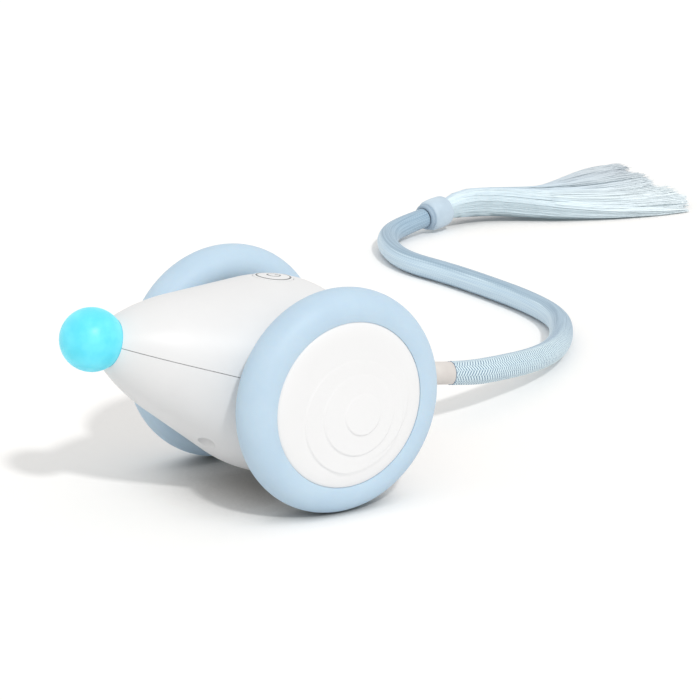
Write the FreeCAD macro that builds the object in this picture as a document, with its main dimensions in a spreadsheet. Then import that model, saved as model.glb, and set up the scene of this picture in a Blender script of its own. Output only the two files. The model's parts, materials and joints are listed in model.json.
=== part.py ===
import FreeCAD, Part
import math
import os
import Sketcher
from FreeCAD import Vector

# Robotic mouse cat toy: an egg-shaped body hung between two large wheels, nose up, with a soft
# tail. Millimetres. +Z is up, the nose points to -Y and the axle line runs along X. The origin
# is on the floor, under the middle of the box round the body and wheels.

# Driving dimensions, in millimetres and degrees
DIMENSIONS = {
    # stance
    "wheel_radius": 31.0,       # floor to axle line, and outside of the tyre
    "wheel_offset": 29.7,       # middle plane of each wheel from the middle of the toy
    "body_tilt": 18.0,          # nose-up angle of the body
    # egg-shaped body, measured along its own axis from the axle line
    "nose_distance": 61.1,      # axle line to the centre of the nose ball
    "belly_radius": 27.4,       # radius of the round rear dome
    "dome_offset": 2.5,         # centre of the rear dome, ahead of the axle line
    "belly_arc": 39.9,          # side arc from the dome to the straight flank
    "flank_rear": 16.8,
    "snout_arc": 63.5,
    "snout_length": 16.6,       # straight flank to the mouth
    "mouth_setback": 5.4,       # front edge of the shells, behind the nose ball's centre
    "bulkhead_depth": 5.7,      # mouth to the inner face of the front bulkhead
    "wall": 1.8,
    "parting_gap": 0.16,        # seam between the upper and lower shell
    "cap_seam": 3.5,            # seam of the rear cap, behind the axle line
    "tongue_width": 11.0,       # the rear cap's tongue under the upper shell
    "tongue_reach": 2.4,
    "tongue_root": 6.5,
    "tongue_drop": 2.1,         # below the roof's highest inside
    "tongue_thickness": 1.2,
    "well_radius": 22.3,        # round recess beside each wheel
    "well_floor": 16.0,
    # nose
    "ball_radius": 8.6,
    "cup_gap": 0.1,
    "neck_radius": 4.2,
    "neck_flange": 5.6,
    "neck_flange_thickness": 1.3,
    "led_radius": 2.5,
    "led_length": 8.6,
    "led_gap": 0.3,
    "led_board_radius": 6.5,
    "led_board_thickness": 1.0,
    "led_rib": 1.2,
    "led_board_depth": 2.6,     # behind the bulkhead's inner face
    # battery, a pouch cell standing on edge
    "battery_width": 7.5,
    "battery_height": 18.0,
    "battery_gap": 0.15,
    "battery_front_room": 4.4,  # LED board's face to the battery
    "battery_rear_room": 0.8,   # battery to the drive frame's front foot
    "battery_edge": 1.5,
    "cradle_rib": 1.2,
    "cradle_front": 4.6,        # ribs' distances behind the battery's front end
    "cradle_rear": 12.6,
    # main board under the roof
    "board_drop": 9.8,          # below the roof's highest inside
    "board_thickness": 1.2,
    "board_front": 20.2,
    "board_rear_room": 1.4,     # its rear corners to the dome's inside
    "board_width": 16.0,
    "board_screw_front": 18.7,
    "board_screw_rear": 1.0,
    "board_screw_spread": 5.5,
    "board_boss": 1.8,
    "board_screw_radius": 0.7,
    "board_screw_head": 1.5,
    "board_screw_head_height": 1.2,
    "board_screw_reach": 4.6,
    # charging port
    "port_width": 8.94,
    "port_height": 3.26,
    "port_length": 7.35,
    "port_reach": 4.4,          # mouth beyond the board's rear edge
    "port_shell": 0.3,
    "port_gap": 0.3,
    "port_tongue_width": 6.7,
    "port_tongue_height": 0.7,
    # power button and its switch
    "button_position": 10.4,    # ahead of the axle line
    "button_radius": 5.5,
    "button_gap": 0.2,
    "button_flange": 6.3,
    "button_flange_drop": 3.7,  # below the roof's highest inside
    "button_flange_thickness": 1.0,
    "button_ring": 7.7,
    "button_rise": 0.15,        # how far the button stands proud of the shell
    "button_travel": 0.5,
    "switch_width": 6.0,
    "switch_height": 3.4,
    "plunger_radius": 1.7,
    "plunger_gap": 0.1,
    "plunger_depth": 1.0,
    # leads and the battery's plug
    "plug_front": 14.9,         # ahead of the axle line
    "plug_length": 4.0,
    "plug_width": 6.4,
    "plug_depth": 3.4,
    "lead_radius": 0.45,
    "lead_rise": 1.2,           # middle of the LED's leads over the battery
    "battery_lead_spread": 1.4,
    "led_lead_spread": 2.6,
    "led_lead_height": 3.2,     # where they leave the LED's board
    # screws that close the shells
    "case_screw_side": 8.0,
    "case_screw_front": 23.0,
    "case_screw_radius": 1.0,
    "case_screw_head": 2.1,
    "case_screw_head_height": 1.6,
    "case_screw_seat": 16.5,
    "case_screw_reach": 6.5,
    "case_boss": 2.5,
    "case_recess": 2.5,
    "case_recess_wall": 1.4,
    # gear trains
    "gear_module": 0.5,
    "pinion_teeth": 10,
    "idler_teeth": 28,
    "axle_gear_teeth": 34,
    "gear_backlash": 0.12,
    "gear_gap": 0.2,
    "first_face": 1.6,
    "second_face": 1.8,
    "axle_gear_face": 2.3,
    "first_idler_radius": 10.6,
    "motor_orbit": 14.6,
    "right_motor_angle": -35.0,
    "left_motor_angle": -95.0,
    "idler_pin_radius": 0.75,
    "running_clearance": 0.05,
    # drive frame and gear covers
    "cover_gap": 0.1,
    "cover_thickness": 1.1,
    "plate_gap": 0.4,
    "plate_thickness": 1.4,
    "drive_clearance": 0.8,
    "frame_front": 15.6,
    "frame_top": 12.9,
    "frame_post": 2.0,
    "front_post_y": -13.5,
    "front_post_z": 5.0,
    "rear_post_y": 5.0,
    "rear_post_z": 10.9,
    "cover_screw_radius": 0.7,
    "cover_screw_head": 1.4,
    "cover_screw_depth": 4.0,
    "foot_thickness": 2.0,
    "front_foot_y": -16.5,
    "front_foot_z": -6.5,
    "rear_foot_y": 7.8,
    "rear_foot_z": -17.8,
    "foot_half_length": 2.3,
    "foot_post": 2.0,
    "peg_radius": 1.1,
    "peg_gap": 0.1,
    "frame_screw_radius": 0.8,
    "frame_screw_head": 1.8,
    "frame_screw_head_height": 1.2,
    "frame_screw_reach": 5.0,
    # motors
    "motor_radius": 6.0,
    "motor_flats": 10.0,
    "motor_length": 15.0,
    "motor_end_cap": 1.8,
    "motor_boss_radius": 2.0,
    "motor_boss": 0.4,
    "motor_shaft_radius": 0.5,
    "motor_shaft_depth": 3.0,
    "motor_gap": 0.1,
    "motor_sleeve": 1.1,
    # axles
    "axle_radius": 1.5,
    "axle_middle_gap": 1.2,
    "axle_end": 31.0,
    "axle_tube": 3.2,
    "bush_radius": 2.3,
    "bush_inner": 11.4,
    "bush_outer": 16.4,
    "bush_gap": 0.1,
    # wheels, measured along the axle from each wheel's middle plane where not said otherwise
    "tyre_section": 6.2,
    "rim_seat": 20.0,
    "rim_inner_face": 4.9,
    "rim_outer_face": 4.5,
    "rim_flange_thickness": 1.0,
    "rim_inner_flange": 22.5,
    "rim_outer_flange": 21.5,
    "rim_wall": 1.6,
    "rim_web": 1.6,
    "rim_web_inset": 2.7,
    "rim_hub": 4.5,
    "rim_hub_start": 17.2,
    "rim_rib": 1.2,
    "cap_radius": 22.8,
    "cap_edge": 1.1,
    "cap_lip_rise": 0.9,
    "cap_lip_width": 2.6,
    "cap_skirt": 1.0,
    "cap_skirt_depth": 3.0,
    "cap_hollow": 0.8,
    "swirl_step": 0.3,
    "tyre_gap": 0.1,
    "wheel_screw_radius": 0.8,
    "wheel_screw_head": 2.6,
    "wheel_screw_head_height": 1.2,
    "wheel_screw_depth": 5.0,
    # tail
    "tail_pitch": 9.3,          # the ferrule's slope down to the rear
    "tail_radius": 3.9,
    "tail_exit": 9.0,           # straight run out of the ferrule
    "socket_radius": 4.8,
    "socket_flange": 6.6,
    "socket_inner_flange": 6.2,
    "socket_rise": 0.2,         # outer face over the dome
    "socket_flange_thickness": 1.2,
    "socket_inner_flange_thickness": 1.4,
    "socket_gap": 0.1,
    "ferrule_radius": 3.4,
    "ferrule_bore": 2.3,
    "ferrule_bend": 36.5,       # where it bends, from the centre of the rear dome
    "bead_radius": 6.5,
    "bead_length": 12.6,
    "bead_mouth": 4.2,
}

# Raised discs of the wheel cap's swirl: radius, and centre along Y and Z from the axle
SWIRL_DISCS = [(16.6, 2.05, -2.85), (12.4, 2.95, -1.75), (6.5, 4.1, -2.8)]

# Route of the tail from the ferrule's end, chosen by hand: corners that the tube rounds off
TAIL_ROUTE = [
    (-15.6, 89.4, 16.3),
    (-24.1, 109.9, 12.3),
    (-34.5, 131.2, 8.9),
    (-47.4, 150.7, 6.5),
    (-65.0, 167.4, 4.9),
    (-84.8, 181.2, 4.1),
    (-107.7, 186.0, 4.1),
    (-131.7, 186.7, 4.1),
    (-155.2, 186.4, 4.1),
    (-179.4, 183.4, 4.1),
    (-201.6, 190.6, 4.1),
    (-217.6, 201.7, 4.3),
    (-223.6, 213.0, 5.2),
    (-225.6, 223.6, 6.5),
]

# The tassel's body after the bead: section centre, half-width and half-height
TASSEL_SECTIONS = [
    ((-229.5, 254.0, 7.2), 8.0, 5.6),
    ((-227.5, 275.0, 6.7), 13.0, 5.9),
    ((-225.5, 295.0, 6.3), 19.5, 5.7),
    ((-227.0, 318.0, 5.9), 26.0, 5.3),
    ((-229.0, 342.0, 5.4), 30.0, 4.7),
]

doc = FreeCAD.newDocument("robotic_mouse")
sheet = doc.addObject("Spreadsheet::Sheet", "Sizes")


class Size:
    """A number together with the sheet formula that gives it."""

    def __init__(self, value, formula=None):
        self.value = float(value)
        self.formula = formula if formula else "(%.6f)" % value

    def __add__(self, other):
        other = as_size(other)
        return Size(self.value + other.value, "(%s + %s)" % (self.formula, other.formula))

    def __sub__(self, other):
        other = as_size(other)
        return Size(self.value - other.value, "(%s - %s)" % (self.formula, other.formula))

    def __mul__(self, other):
        other = as_size(other)
        return Size(self.value * other.value, "(%s * %s)" % (self.formula, other.formula))

    def __truediv__(self, other):
        other = as_size(other)
        return Size(self.value / other.value, "(%s / %s)" % (self.formula, other.formula))

    def __neg__(self):
        return Size(-self.value, "(-%s)" % self.formula)

    __radd__ = __add__
    __rmul__ = __mul__

    def __rsub__(self, other):
        return as_size(other) - self


def as_size(value):
    return value if isinstance(value, Size) else Size(value)


def root(size):
    return Size(math.sqrt(size.value), "sqrt(%s)" % size.formula)


def sine(angle):
    return Size(math.sin(math.radians(angle.value)), "sin(%s)" % angle.formula)


def cosine(angle):
    return Size(math.cos(math.radians(angle.value)), "cos(%s)" % angle.formula)


def arc_cosine(ratio):
    """The angle in degrees whose cosine is the ratio."""
    return Size(math.degrees(math.acos(ratio.value)), "(acos(%s) / 1 deg)" % ratio.formula)


class Dimensions:
    """The sheet's sizes by name."""


def fill_sheet():
    for row, (name, value) in enumerate(DIMENSIONS.items(), start=1):
        sheet.set("A%d" % row, name)
        sheet.set("B%d" % row, str(value))
        sheet.setAlias("B%d" % row, name)
    doc.recompute()
    sizes = Dimensions()
    for name in DIMENSIONS:
        setattr(sizes, name, Size(sheet.get(name), "Sizes." + name))
    return sizes


d = fill_sheet()

# Stations along the body, ahead of the axle line
mouth_front = d.nose_distance - d.mouth_setback
cavity_front = mouth_front - d.bulkhead_depth
flank_front = mouth_front - d.snout_length
led_board_front = cavity_front - d.led_board_depth
battery_front = led_board_front - d.battery_front_room
battery_rear = -d.front_foot_y + d.foot_half_length + d.battery_rear_room

# Heights inside the roof
cavity_radius = d.belly_radius - d.wall
tongue_top = cavity_radius - d.tongue_drop
button_flange_top = cavity_radius - d.button_flange_drop
board_top = cavity_radius - d.board_drop
board_bottom = board_top - d.board_thickness
half_board = d.board_width / 2
board_rear = root(cavity_radius * cavity_radius - board_top * board_top - half_board * half_board) \
    - d.dome_offset - d.board_rear_room
port_mouth = board_rear + d.port_reach
port_z = board_bottom - d.port_height / 2

# Distances along the tail from the centre of the rear dome
socket_end = d.belly_radius + d.socket_rise
socket_groove_end = socket_end - d.socket_flange_thickness
socket_groove_start = socket_groove_end - d.wall
socket_start = socket_groove_start - d.socket_inner_flange_thickness

# Placements: the body's own frame has the axle along X and the nose at -Y, before the tilt
axle_y = ((d.nose_distance * cosine(d.body_tilt)) + d.ball_radius - d.wheel_radius) / 2
dome_y = axle_y - d.dome_offset * cosine(d.body_tilt)
dome_z = d.wheel_radius + d.dome_offset * sine(d.body_tilt)


def placement_formula(at, axis, angle):
    x, y, z = (as_size(value).formula for value in at)
    turn = "rotation(vector(%d; %d; %d); %s)" % (*axis, as_size(angle).formula)
    return "placement(vector(%s; %s; %s); %s)" % (x, y, z, turn)


BODY_FRAME = placement_formula((0, axle_y, d.wheel_radius), (1, 0, 0), -d.body_tilt)
TAIL_FRAME = placement_formula((0, dome_y, dome_z), (1, 0, 0), -d.tail_pitch)
WHEEL_FRAME = {
    "right": placement_formula((0, axle_y, d.wheel_radius), (0, 0, 1), 0),
    "left": placement_formula((0, axle_y, d.wheel_radius), (0, 0, 1), 180),
}
LIES_ALONG = {"X": ((0, 1, 0), 90), "Y": ((1, 0, 0), -90), "Z": ((0, 0, 1), 0)}

nodes = {}


def node(label, shape, frame=BODY_FRAME):
    """Register a finished piece: its label names its file."""
    shape.Label = label
    shape.setExpression("Placement", frame)
    nodes[label] = shape
    return shape


def bind(thing, **values):
    for name, value in values.items():
        thing.setExpression(name, as_size(value).formula)


def put(shape, at, along="Z"):
    axis, angle = LIES_ALONG[along]
    shape.setExpression("Placement", placement_formula(at, axis, angle))


def cylinder(name, radius, length, at, along="X"):
    shape = doc.addObject("Part::Cylinder", name)
    bind(shape, Radius=radius, Height=length)
    put(shape, at, along)
    return shape


def span_x(name, radius, start, end, y, z):
    """A round bar along X from start to end."""
    return cylinder(name, radius, end - start, (start, y, z), "X")


def column(name, radius, low, high, x, y):
    """A round upright from low to high."""
    return cylinder(name, radius, high - low, (x, y, low), "Z")


def box(name, low, high):
    shape = doc.addObject("Part::Box", name)
    sides = [as_size(end) - as_size(start) for start, end in zip(low, high)]
    bind(shape, Length=sides[0], Width=sides[1], Height=sides[2])
    put(shape, low)
    return shape


def sphere(name, radius, at):
    shape = doc.addObject("Part::Sphere", name)
    bind(shape, Radius=radius)
    put(shape, at)
    return shape


def fuse(name, *shapes):
    result = doc.addObject("Part::MultiFuse", name)
    result.Shapes = list(shapes)
    return result


def common(name, *shapes):
    result = doc.addObject("Part::MultiCommon", name)
    result.Shapes = list(shapes)
    return result


def cut(name, base, *tools):
    result = doc.addObject("Part::Cut", name)
    result.Base = base
    result.Tool = tools[0] if len(tools) == 1 else fuse(name + "_tools", *tools)
    return result


def group(name, *shapes):
    """Separate solids that are one piece of the list, such as a set of screws."""
    result = doc.addObject("Part::Compound", name)
    result.Links = list(shapes)
    return result


# Sketched profiles

class Free(Size):
    """A first guess for a coordinate that an arc settles."""


def rounded_path(points):
    """Straight runs joined by tangent arcs, as edges, with each arc's radius."""
    edges = []
    radii = []
    start = points[0]
    for index in range(1, len(points) - 1):
        before, corner, after = points[index - 1:index + 2]
        back = (before - corner)
        ahead = (after - corner)
        reach = 0.45 * min(back.Length, ahead.Length)
        back.normalize()
        ahead.normalize()
        turn = math.pi - math.acos(max(-1.0, min(1.0, back.dot(ahead))))
        radius = reach / math.tan(turn / 2)
        radii.append(radius)
        bisector = (back + ahead).normalize()
        arc_start = corner + back * reach
        arc_end = corner + ahead * reach
        nearest = radius / math.cos(turn / 2) - radius
        edges.append(Part.LineSegment(start, arc_start).toShape())
        edges.append(Part.Arc(arc_start, corner + bisector * nearest, arc_end).toShape())
        start = arc_end
    edges.append(Part.LineSegment(start, points[-1]).toShape())
    return edges, radii


def swept(points, radius):
    """A round bar along the points. Also its path and the radius of each arc in it."""
    edges, radii = rounded_path(points)
    path = Part.Wire(edges)
    circle = Part.Circle(points[0], points[1] - points[0], radius)
    return path.makePipeShell([Part.Wire(circle.toShape())], True, True), path, radii


def add_solid(label, shape, frame=None):
    piece = doc.addObject("Part::Feature", label)
    piece.Shape = shape
    if frame:
        piece.setExpression("Placement", frame)
    nodes[label] = piece


def free(size):
    return Free(size.value, size.formula)


def new_sketch(body, name, plane="XY_Plane"):
    sketch = body.newObject("Sketcher::SketchObject", name)
    support = [feature for feature in body.Origin.OriginFeatures if feature.Role == plane][0]
    sketch.AttachmentSupport = (support, [""])
    sketch.MapMode = "FlatFace"
    return sketch


def fix_point(sketch, geometry, end, x, y):
    """Dimension a point from the sketch's origin."""
    for kind, value, axis in (("DistanceX", as_size(x), -2), ("DistanceY", as_size(y), -1)):
        if isinstance(value, Free):
            continue
        if abs(value.value) < 1e-9:
            sketch.addConstraint(Sketcher.Constraint("PointOnObject", geometry, end, axis))
            continue
        index = sketch.addConstraint(Sketcher.Constraint(kind, -1, 1, geometry, end, value.value))
        sketch.setExpression("Constraints[%d]" % index, value.formula)


def fix_radius(sketch, geometry, radius):
    index = sketch.addConstraint(Sketcher.Constraint("Radius", geometry, radius.value))
    sketch.setExpression("Constraints[%d]" % index, radius.formula)


def outline(sketch, corners, arcs=None):
    """Close an outline through the corners. An entry of arcs bends the edge that leaves its
    corner: the arc's centre x and y, its radius, and True where it runs counter-clockwise."""
    arcs = arcs or {}
    points = [Vector(as_size(x).value, as_size(y).value, 0) for x, y in corners]
    ends = []
    for index, start in enumerate(points):
        finish = points[(index + 1) % len(points)]
        if index not in arcs:
            ends.append((sketch.addGeometry(Part.LineSegment(start, finish), False), 1, 2))
            continue
        x, y, radius, counter_clockwise = arcs[index]
        centre = Vector(as_size(x).value, as_size(y).value, 0)
        angles = [math.atan2(p.y - centre.y, p.x - centre.x) for p in (start, finish)]
        if not counter_clockwise:
            angles.reverse()
        circle = Part.Circle(centre, Vector(0, 0, 1), radius.value)
        geometry = sketch.addGeometry(Part.ArcOfCircle(circle, *angles), False)
        ends.append((geometry, 1, 2) if counter_clockwise else (geometry, 2, 1))
        fix_point(sketch, geometry, 3, x, y)
        fix_radius(sketch, geometry, radius)
    for index, (geometry, start, finish) in enumerate(ends):
        following, following_start, _ = ends[(index + 1) % len(ends)]
        sketch.addConstraint(Sketcher.Constraint("Coincident", geometry, finish, following, following_start))
        fix_point(sketch, geometry, start, *corners[index])


def revolved(name, corners, arcs=None, axis="H_Axis"):
    """A body turned round X (H_Axis, corners as length and radius) or Y (V_Axis)."""
    body = doc.addObject("PartDesign::Body", name)
    sketch = new_sketch(body, name + "_profile")
    outline(sketch, corners, arcs)
    turn = body.newObject("PartDesign::Revolution", name + "_turn")
    turn.Profile = sketch
    turn.ReferenceAxis = (sketch, [axis])
    turn.Angle = 360
    return body


# Body shells

def egg(name, inset, front):
    """The body's form turned round its axis, inset from the outside, with a flat front."""
    dome_radius = d.belly_radius - inset
    belly_radius = d.belly_arc - inset
    snout_radius = d.snout_arc - inset
    slope = (d.flank_rear - d.dome_offset) / d.belly_arc
    rear_joint = -d.flank_rear + inset * slope
    front_joint = -flank_front + inset * slope

    slope_angle = math.asin(slope.value)
    belly_centre = Vector(dome_radius.value - belly_radius.value, -d.dome_offset.value, 0)
    belly_end = belly_centre + Vector(math.cos(slope_angle), -math.sin(slope_angle), 0) * belly_radius.value
    run = (belly_end.y - front_joint.value) / math.cos(slope_angle)
    flank_end = belly_end - Vector(math.sin(slope_angle), math.cos(slope_angle), 0) * run
    snout_centre = flank_end - Vector(math.cos(slope_angle), -math.sin(slope_angle), 0) * snout_radius.value
    mouth_angle = math.asin((front.value - snout_centre.y) / snout_radius.value)
    mouth = snout_centre + Vector(math.cos(mouth_angle), math.sin(mouth_angle), 0) * snout_radius.value

    body = doc.addObject("PartDesign::Body", name)
    sketch = new_sketch(body, name + "_profile")
    up = Vector(0, 0, 1)
    dome_centre = Vector(0, -d.dome_offset.value, 0)
    rear_pole = dome_centre + Vector(0, dome_radius.value, 0)
    dome = sketch.addGeometry(
        Part.ArcOfCircle(Part.Circle(dome_centre, up, dome_radius.value), 0, math.pi / 2), False)
    belly = sketch.addGeometry(
        Part.ArcOfCircle(Part.Circle(belly_centre, up, belly_radius.value), -slope_angle, 0), False)
    flank = sketch.addGeometry(Part.LineSegment(belly_end, flank_end), False)
    snout = sketch.addGeometry(
        Part.ArcOfCircle(Part.Circle(snout_centre, up, snout_radius.value), mouth_angle, -slope_angle), False)
    face = sketch.addGeometry(Part.LineSegment(mouth, Vector(0, mouth.y, 0)), False)
    middle = sketch.addGeometry(Part.LineSegment(Vector(0, mouth.y, 0), rear_pole), False)

    fix_point(sketch, dome, 3, 0, -d.dome_offset)
    fix_radius(sketch, dome, dome_radius)
    sketch.addConstraint(Sketcher.Constraint("Horizontal", dome, 3, dome, 1))
    sketch.addConstraint(Sketcher.Constraint("Tangent", dome, 1, belly, 2))
    fix_radius(sketch, belly, belly_radius)
    sketch.addConstraint(Sketcher.Constraint("Tangent", belly, 1, flank, 1))
    fix_point(sketch, flank, 1, free(Size(belly_end.x)), rear_joint)
    sketch.addConstraint(Sketcher.Constraint("Tangent", flank, 2, snout, 2))
    fix_point(sketch, flank, 2, free(Size(flank_end.x)), front_joint)
    fix_radius(sketch, snout, snout_radius)
    sketch.addConstraint(Sketcher.Constraint("Coincident", snout, 1, face, 1))
    fix_point(sketch, face, 1, free(Size(mouth.x)), front)
    sketch.addConstraint(Sketcher.Constraint("Horizontal", face))
    sketch.addConstraint(Sketcher.Constraint("PointOnObject", face, 2, -2))
    sketch.addConstraint(Sketcher.Constraint("Coincident", face, 2, middle, 1))
    sketch.addConstraint(Sketcher.Constraint("Coincident", middle, 2, dome, 2))
    sketch.addConstraint(Sketcher.Constraint("PointOnObject", dome, 2, -2))
    turn = body.newObject("PartDesign::Revolution", name + "_turn")
    turn.Profile = sketch
    turn.ReferenceAxis = (sketch, ["V_Axis"])
    turn.Angle = 360
    return body


half_seam = d.parting_gap / 2
cover_outer = d.well_floor - d.wall - d.cover_gap
cover_inner = cover_outer - d.cover_thickness
far = d.belly_radius * 3
tail_lift = d.body_tilt - d.tail_pitch

case_screw_places = [("right", d.case_screw_side), ("left", -d.case_screw_side)]
board_screw_places = [
    ("front", Size(0), -d.board_screw_front),
    ("right", d.board_screw_spread, -d.board_screw_rear),
    ("left", -d.board_screw_spread, -d.board_screw_rear),
]


def along_tail(name, radius, start, end):
    """A round tool on the tail's axis, in the body's frame, by distance from the dome's centre."""
    shape = doc.addObject("Part::Cylinder", name)
    bind(shape, Radius=radius, Height=end - start)
    at = (0, start * cosine(tail_lift) - d.dome_offset, start * sine(tail_lift))
    shape.setExpression("Placement", placement_formula(at, (1, 0, 0), tail_lift - 90))
    return shape


def stadium(name, width, height, front, rear, z):
    """A bar along Y with fully rounded sides, centred on x = 0."""
    radius = height / 2
    reach = width / 2 - radius
    middle = box(name + "_middle", (-reach, front, z - radius), (reach, rear, z + radius))
    sides = [cylinder(name + side, radius, rear - front, (x, front, z), "Y")
             for side, x in (("_right", reach), ("_left", -reach))]
    return fuse(name, middle, *sides)


def shell_ribs(core):
    """Everything that stands inside the shells, trimmed to the middle of their wall."""
    led_board_rear = led_board_front - d.led_board_thickness
    cup_start = cavity_front
    seat = cylinder("led_seat", d.belly_radius, cup_start - led_board_rear + d.led_rib, (0, -cup_start, 0), "Y")
    pieces = [seat]
    for name, position in (("front", battery_front - d.cradle_front), ("rear", battery_front - d.cradle_rear)):
        for half, low, high in (("lower", -far, -half_seam * 4), ("upper", half_seam * 4, far)):
            pieces.append(box("cradle_%s_%s" % (name, half), (-far, -position, low),
                              (far, -position + d.cradle_rib, high)))
    recess_wall = d.case_recess + d.case_recess_wall
    recess_top = -d.case_screw_seat + d.case_recess_wall
    for side, x in case_screw_places:
        y = -d.case_screw_front
        pieces.append(column("case_recess_wall_" + side, recess_wall, -far, recess_top, x, y))
        pieces.append(column("lower_boss_" + side, d.case_boss, -far, -half_seam, x, y))
        pieces.append(column("upper_boss_" + side, d.case_boss, half_seam, far, x, y))
    for side, x, y in board_screw_places:
        pieces.append(column("board_boss_" + side, d.board_boss, board_top, far, x, y))
    pieces.append(column("button_ring", d.button_ring, button_flange_top + d.peg_gap, far,
                         0, -d.button_position))
    pieces.append(column("front_foot_post", d.foot_post, -far, d.front_foot_z, 0, d.front_foot_y))
    pieces.append(column("rear_foot_post", d.foot_post, -far, d.rear_foot_z, 0, d.rear_foot_y))
    return common("ribs", fuse("rib_stock", *pieces), core)


def shell_cutters():
    """Holes and recesses in the shells."""
    y = -d.case_screw_front
    cutters = [
        sphere("nose_cup", d.ball_radius + d.cup_gap, (0, -d.nose_distance, 0)),
        cylinder("neck_hole", d.neck_radius + d.cup_gap, mouth_front - cavity_front + 2,
                 (0, -mouth_front, 0), "Y"),
        cylinder("flange_room", d.neck_flange + d.cup_gap * 4, cavity_front - led_board_front,
                 (0, -cavity_front, 0), "Y"),
        cylinder("led_board_room", d.led_board_radius + d.cup_gap,
                 d.led_board_thickness + d.cup_gap + d.led_board_radius / 5,
                 (0, -led_board_front - d.led_board_radius / 5, 0), "Y"),
        cylinder("led_wire_hole", d.led_board_radius - 1.5, d.led_board_thickness + d.led_rib + 1,
                 (0, -led_board_front, 0), "Y"),
        box("battery_room",
            (-(d.battery_width / 2 + d.battery_gap), -battery_front - 1, -(d.battery_height / 2 + d.battery_gap)),
            (d.battery_width / 2 + d.battery_gap, 1 - battery_rear, d.battery_height / 2 + d.battery_gap)),
        column("button_hole", d.button_radius + d.button_gap, board_top, far, 0, -d.button_position),
        stadium("port_slot", d.port_width + d.port_gap * 2, d.port_height + d.port_gap * 2,
                board_rear, far, port_z),
        along_tail("tail_hole", d.socket_radius + d.socket_gap, socket_start, far),
        along_tail("tail_spot_face", d.socket_flange + d.socket_gap * 2, socket_groove_end, far),
        span_x("axle_holes", d.bush_radius + d.bush_gap, -d.well_floor - 1, d.well_floor + 1, 0, 0),
        box("lead_notch", (-(d.led_lead_spread + d.lead_radius * 2), -battery_front, d.battery_height / 2),
            (d.led_lead_spread + d.lead_radius * 2, -battery_rear,
             d.battery_height / 2 + d.lead_rise + d.lead_radius * 2)),
        column("frame_screw_hole", d.frame_screw_radius, d.front_foot_z - d.frame_screw_reach - 0.5,
               d.front_foot_z, 0, d.front_foot_y),
    ]
    for side, x in case_screw_places:
        cutters.append(column("case_recess_" + side, d.case_recess, -far, -d.case_screw_seat, x, y))
        cutters.append(column("case_hole_" + side, d.case_screw_radius + d.peg_gap, -far, 0, x, y))
        cutters.append(column("case_pilot_" + side, d.case_screw_radius, 0, d.case_screw_reach + 0.5, x, y))
    for side, x, rear in board_screw_places:
        cutters.append(column("board_pilot_" + side, d.board_screw_radius, board_top,
                              board_top + d.board_screw_reach + 0.3, x, rear))
    return cutters


def build_shells():
    """The upper and lower shell and the rear cap, cut from one hollow egg."""
    outer = egg("egg_outer", Size(0), -mouth_front)
    inner = egg("egg_inner", d.wall, -cavity_front)
    core = egg("egg_core", d.wall / 2, -mouth_front + d.wall / 2)
    linings = []
    wells = []
    for side, sign in (("right", 1), ("left", -1)):
        start, end = (d.well_floor - d.wall, far) if sign > 0 else (-far, d.wall - d.well_floor)
        linings.append(span_x("well_lining_" + side, d.well_radius + d.wall, start, end, 0, 0))
        start, end = (d.well_floor, far) if sign > 0 else (-far, -d.well_floor)
        wells.append(span_x("well_" + side, d.well_radius, start, end, 0, 0))
    skin = cut("skin", outer, inner)
    lining = common("lining", fuse("linings", *linings), outer)
    peg = column("rear_peg", d.peg_radius, d.rear_foot_z - 1, d.rear_foot_z + d.foot_thickness, 0, d.rear_foot_y)
    whole = cut("whole_shell", fuse("shell_stock", skin, lining, shell_ribs(core), peg), *wells,
                *shell_cutters())
    upper_room = box("upper_room", (-far, -far, half_seam), (far, d.cap_seam, far))
    lower_room = box("lower_room", (-far, -far, -far), (far, far, -half_seam))
    rear_room = box("rear_room", (-far, d.cap_seam + d.parting_gap, half_seam), (far, far, far))
    tongue = box("cap_tongue", (-d.tongue_width / 2, d.cap_seam - d.tongue_reach, tongue_top - d.tongue_thickness),
                 (d.tongue_width / 2, d.cap_seam + d.tongue_root, tongue_top))
    node("upper_shell", common("upper_shell", whole, upper_room))
    node("lower_shell", common("lower_shell", whole, lower_room))
    node("rear_cap", fuse("rear_cap", common("rear_cap_skin", whole, rear_room),
                          common("rear_cap_tongue", tongue, core)))


def build_case_screws():
    y = -d.case_screw_front
    screws = []
    for side, x in case_screw_places:
        head = column("case_head_" + side, d.case_screw_head, -d.case_screw_seat - d.case_screw_head_height,
                      -d.case_screw_seat, x, y)
        shank = column("case_shank_" + side, d.case_screw_radius, -d.case_screw_seat, d.case_screw_reach, x, y)
        screws.append(fuse("case_screw_" + side, head, shank))
    node("case_screws", group("case_screws", *screws))


# Nose

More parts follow.
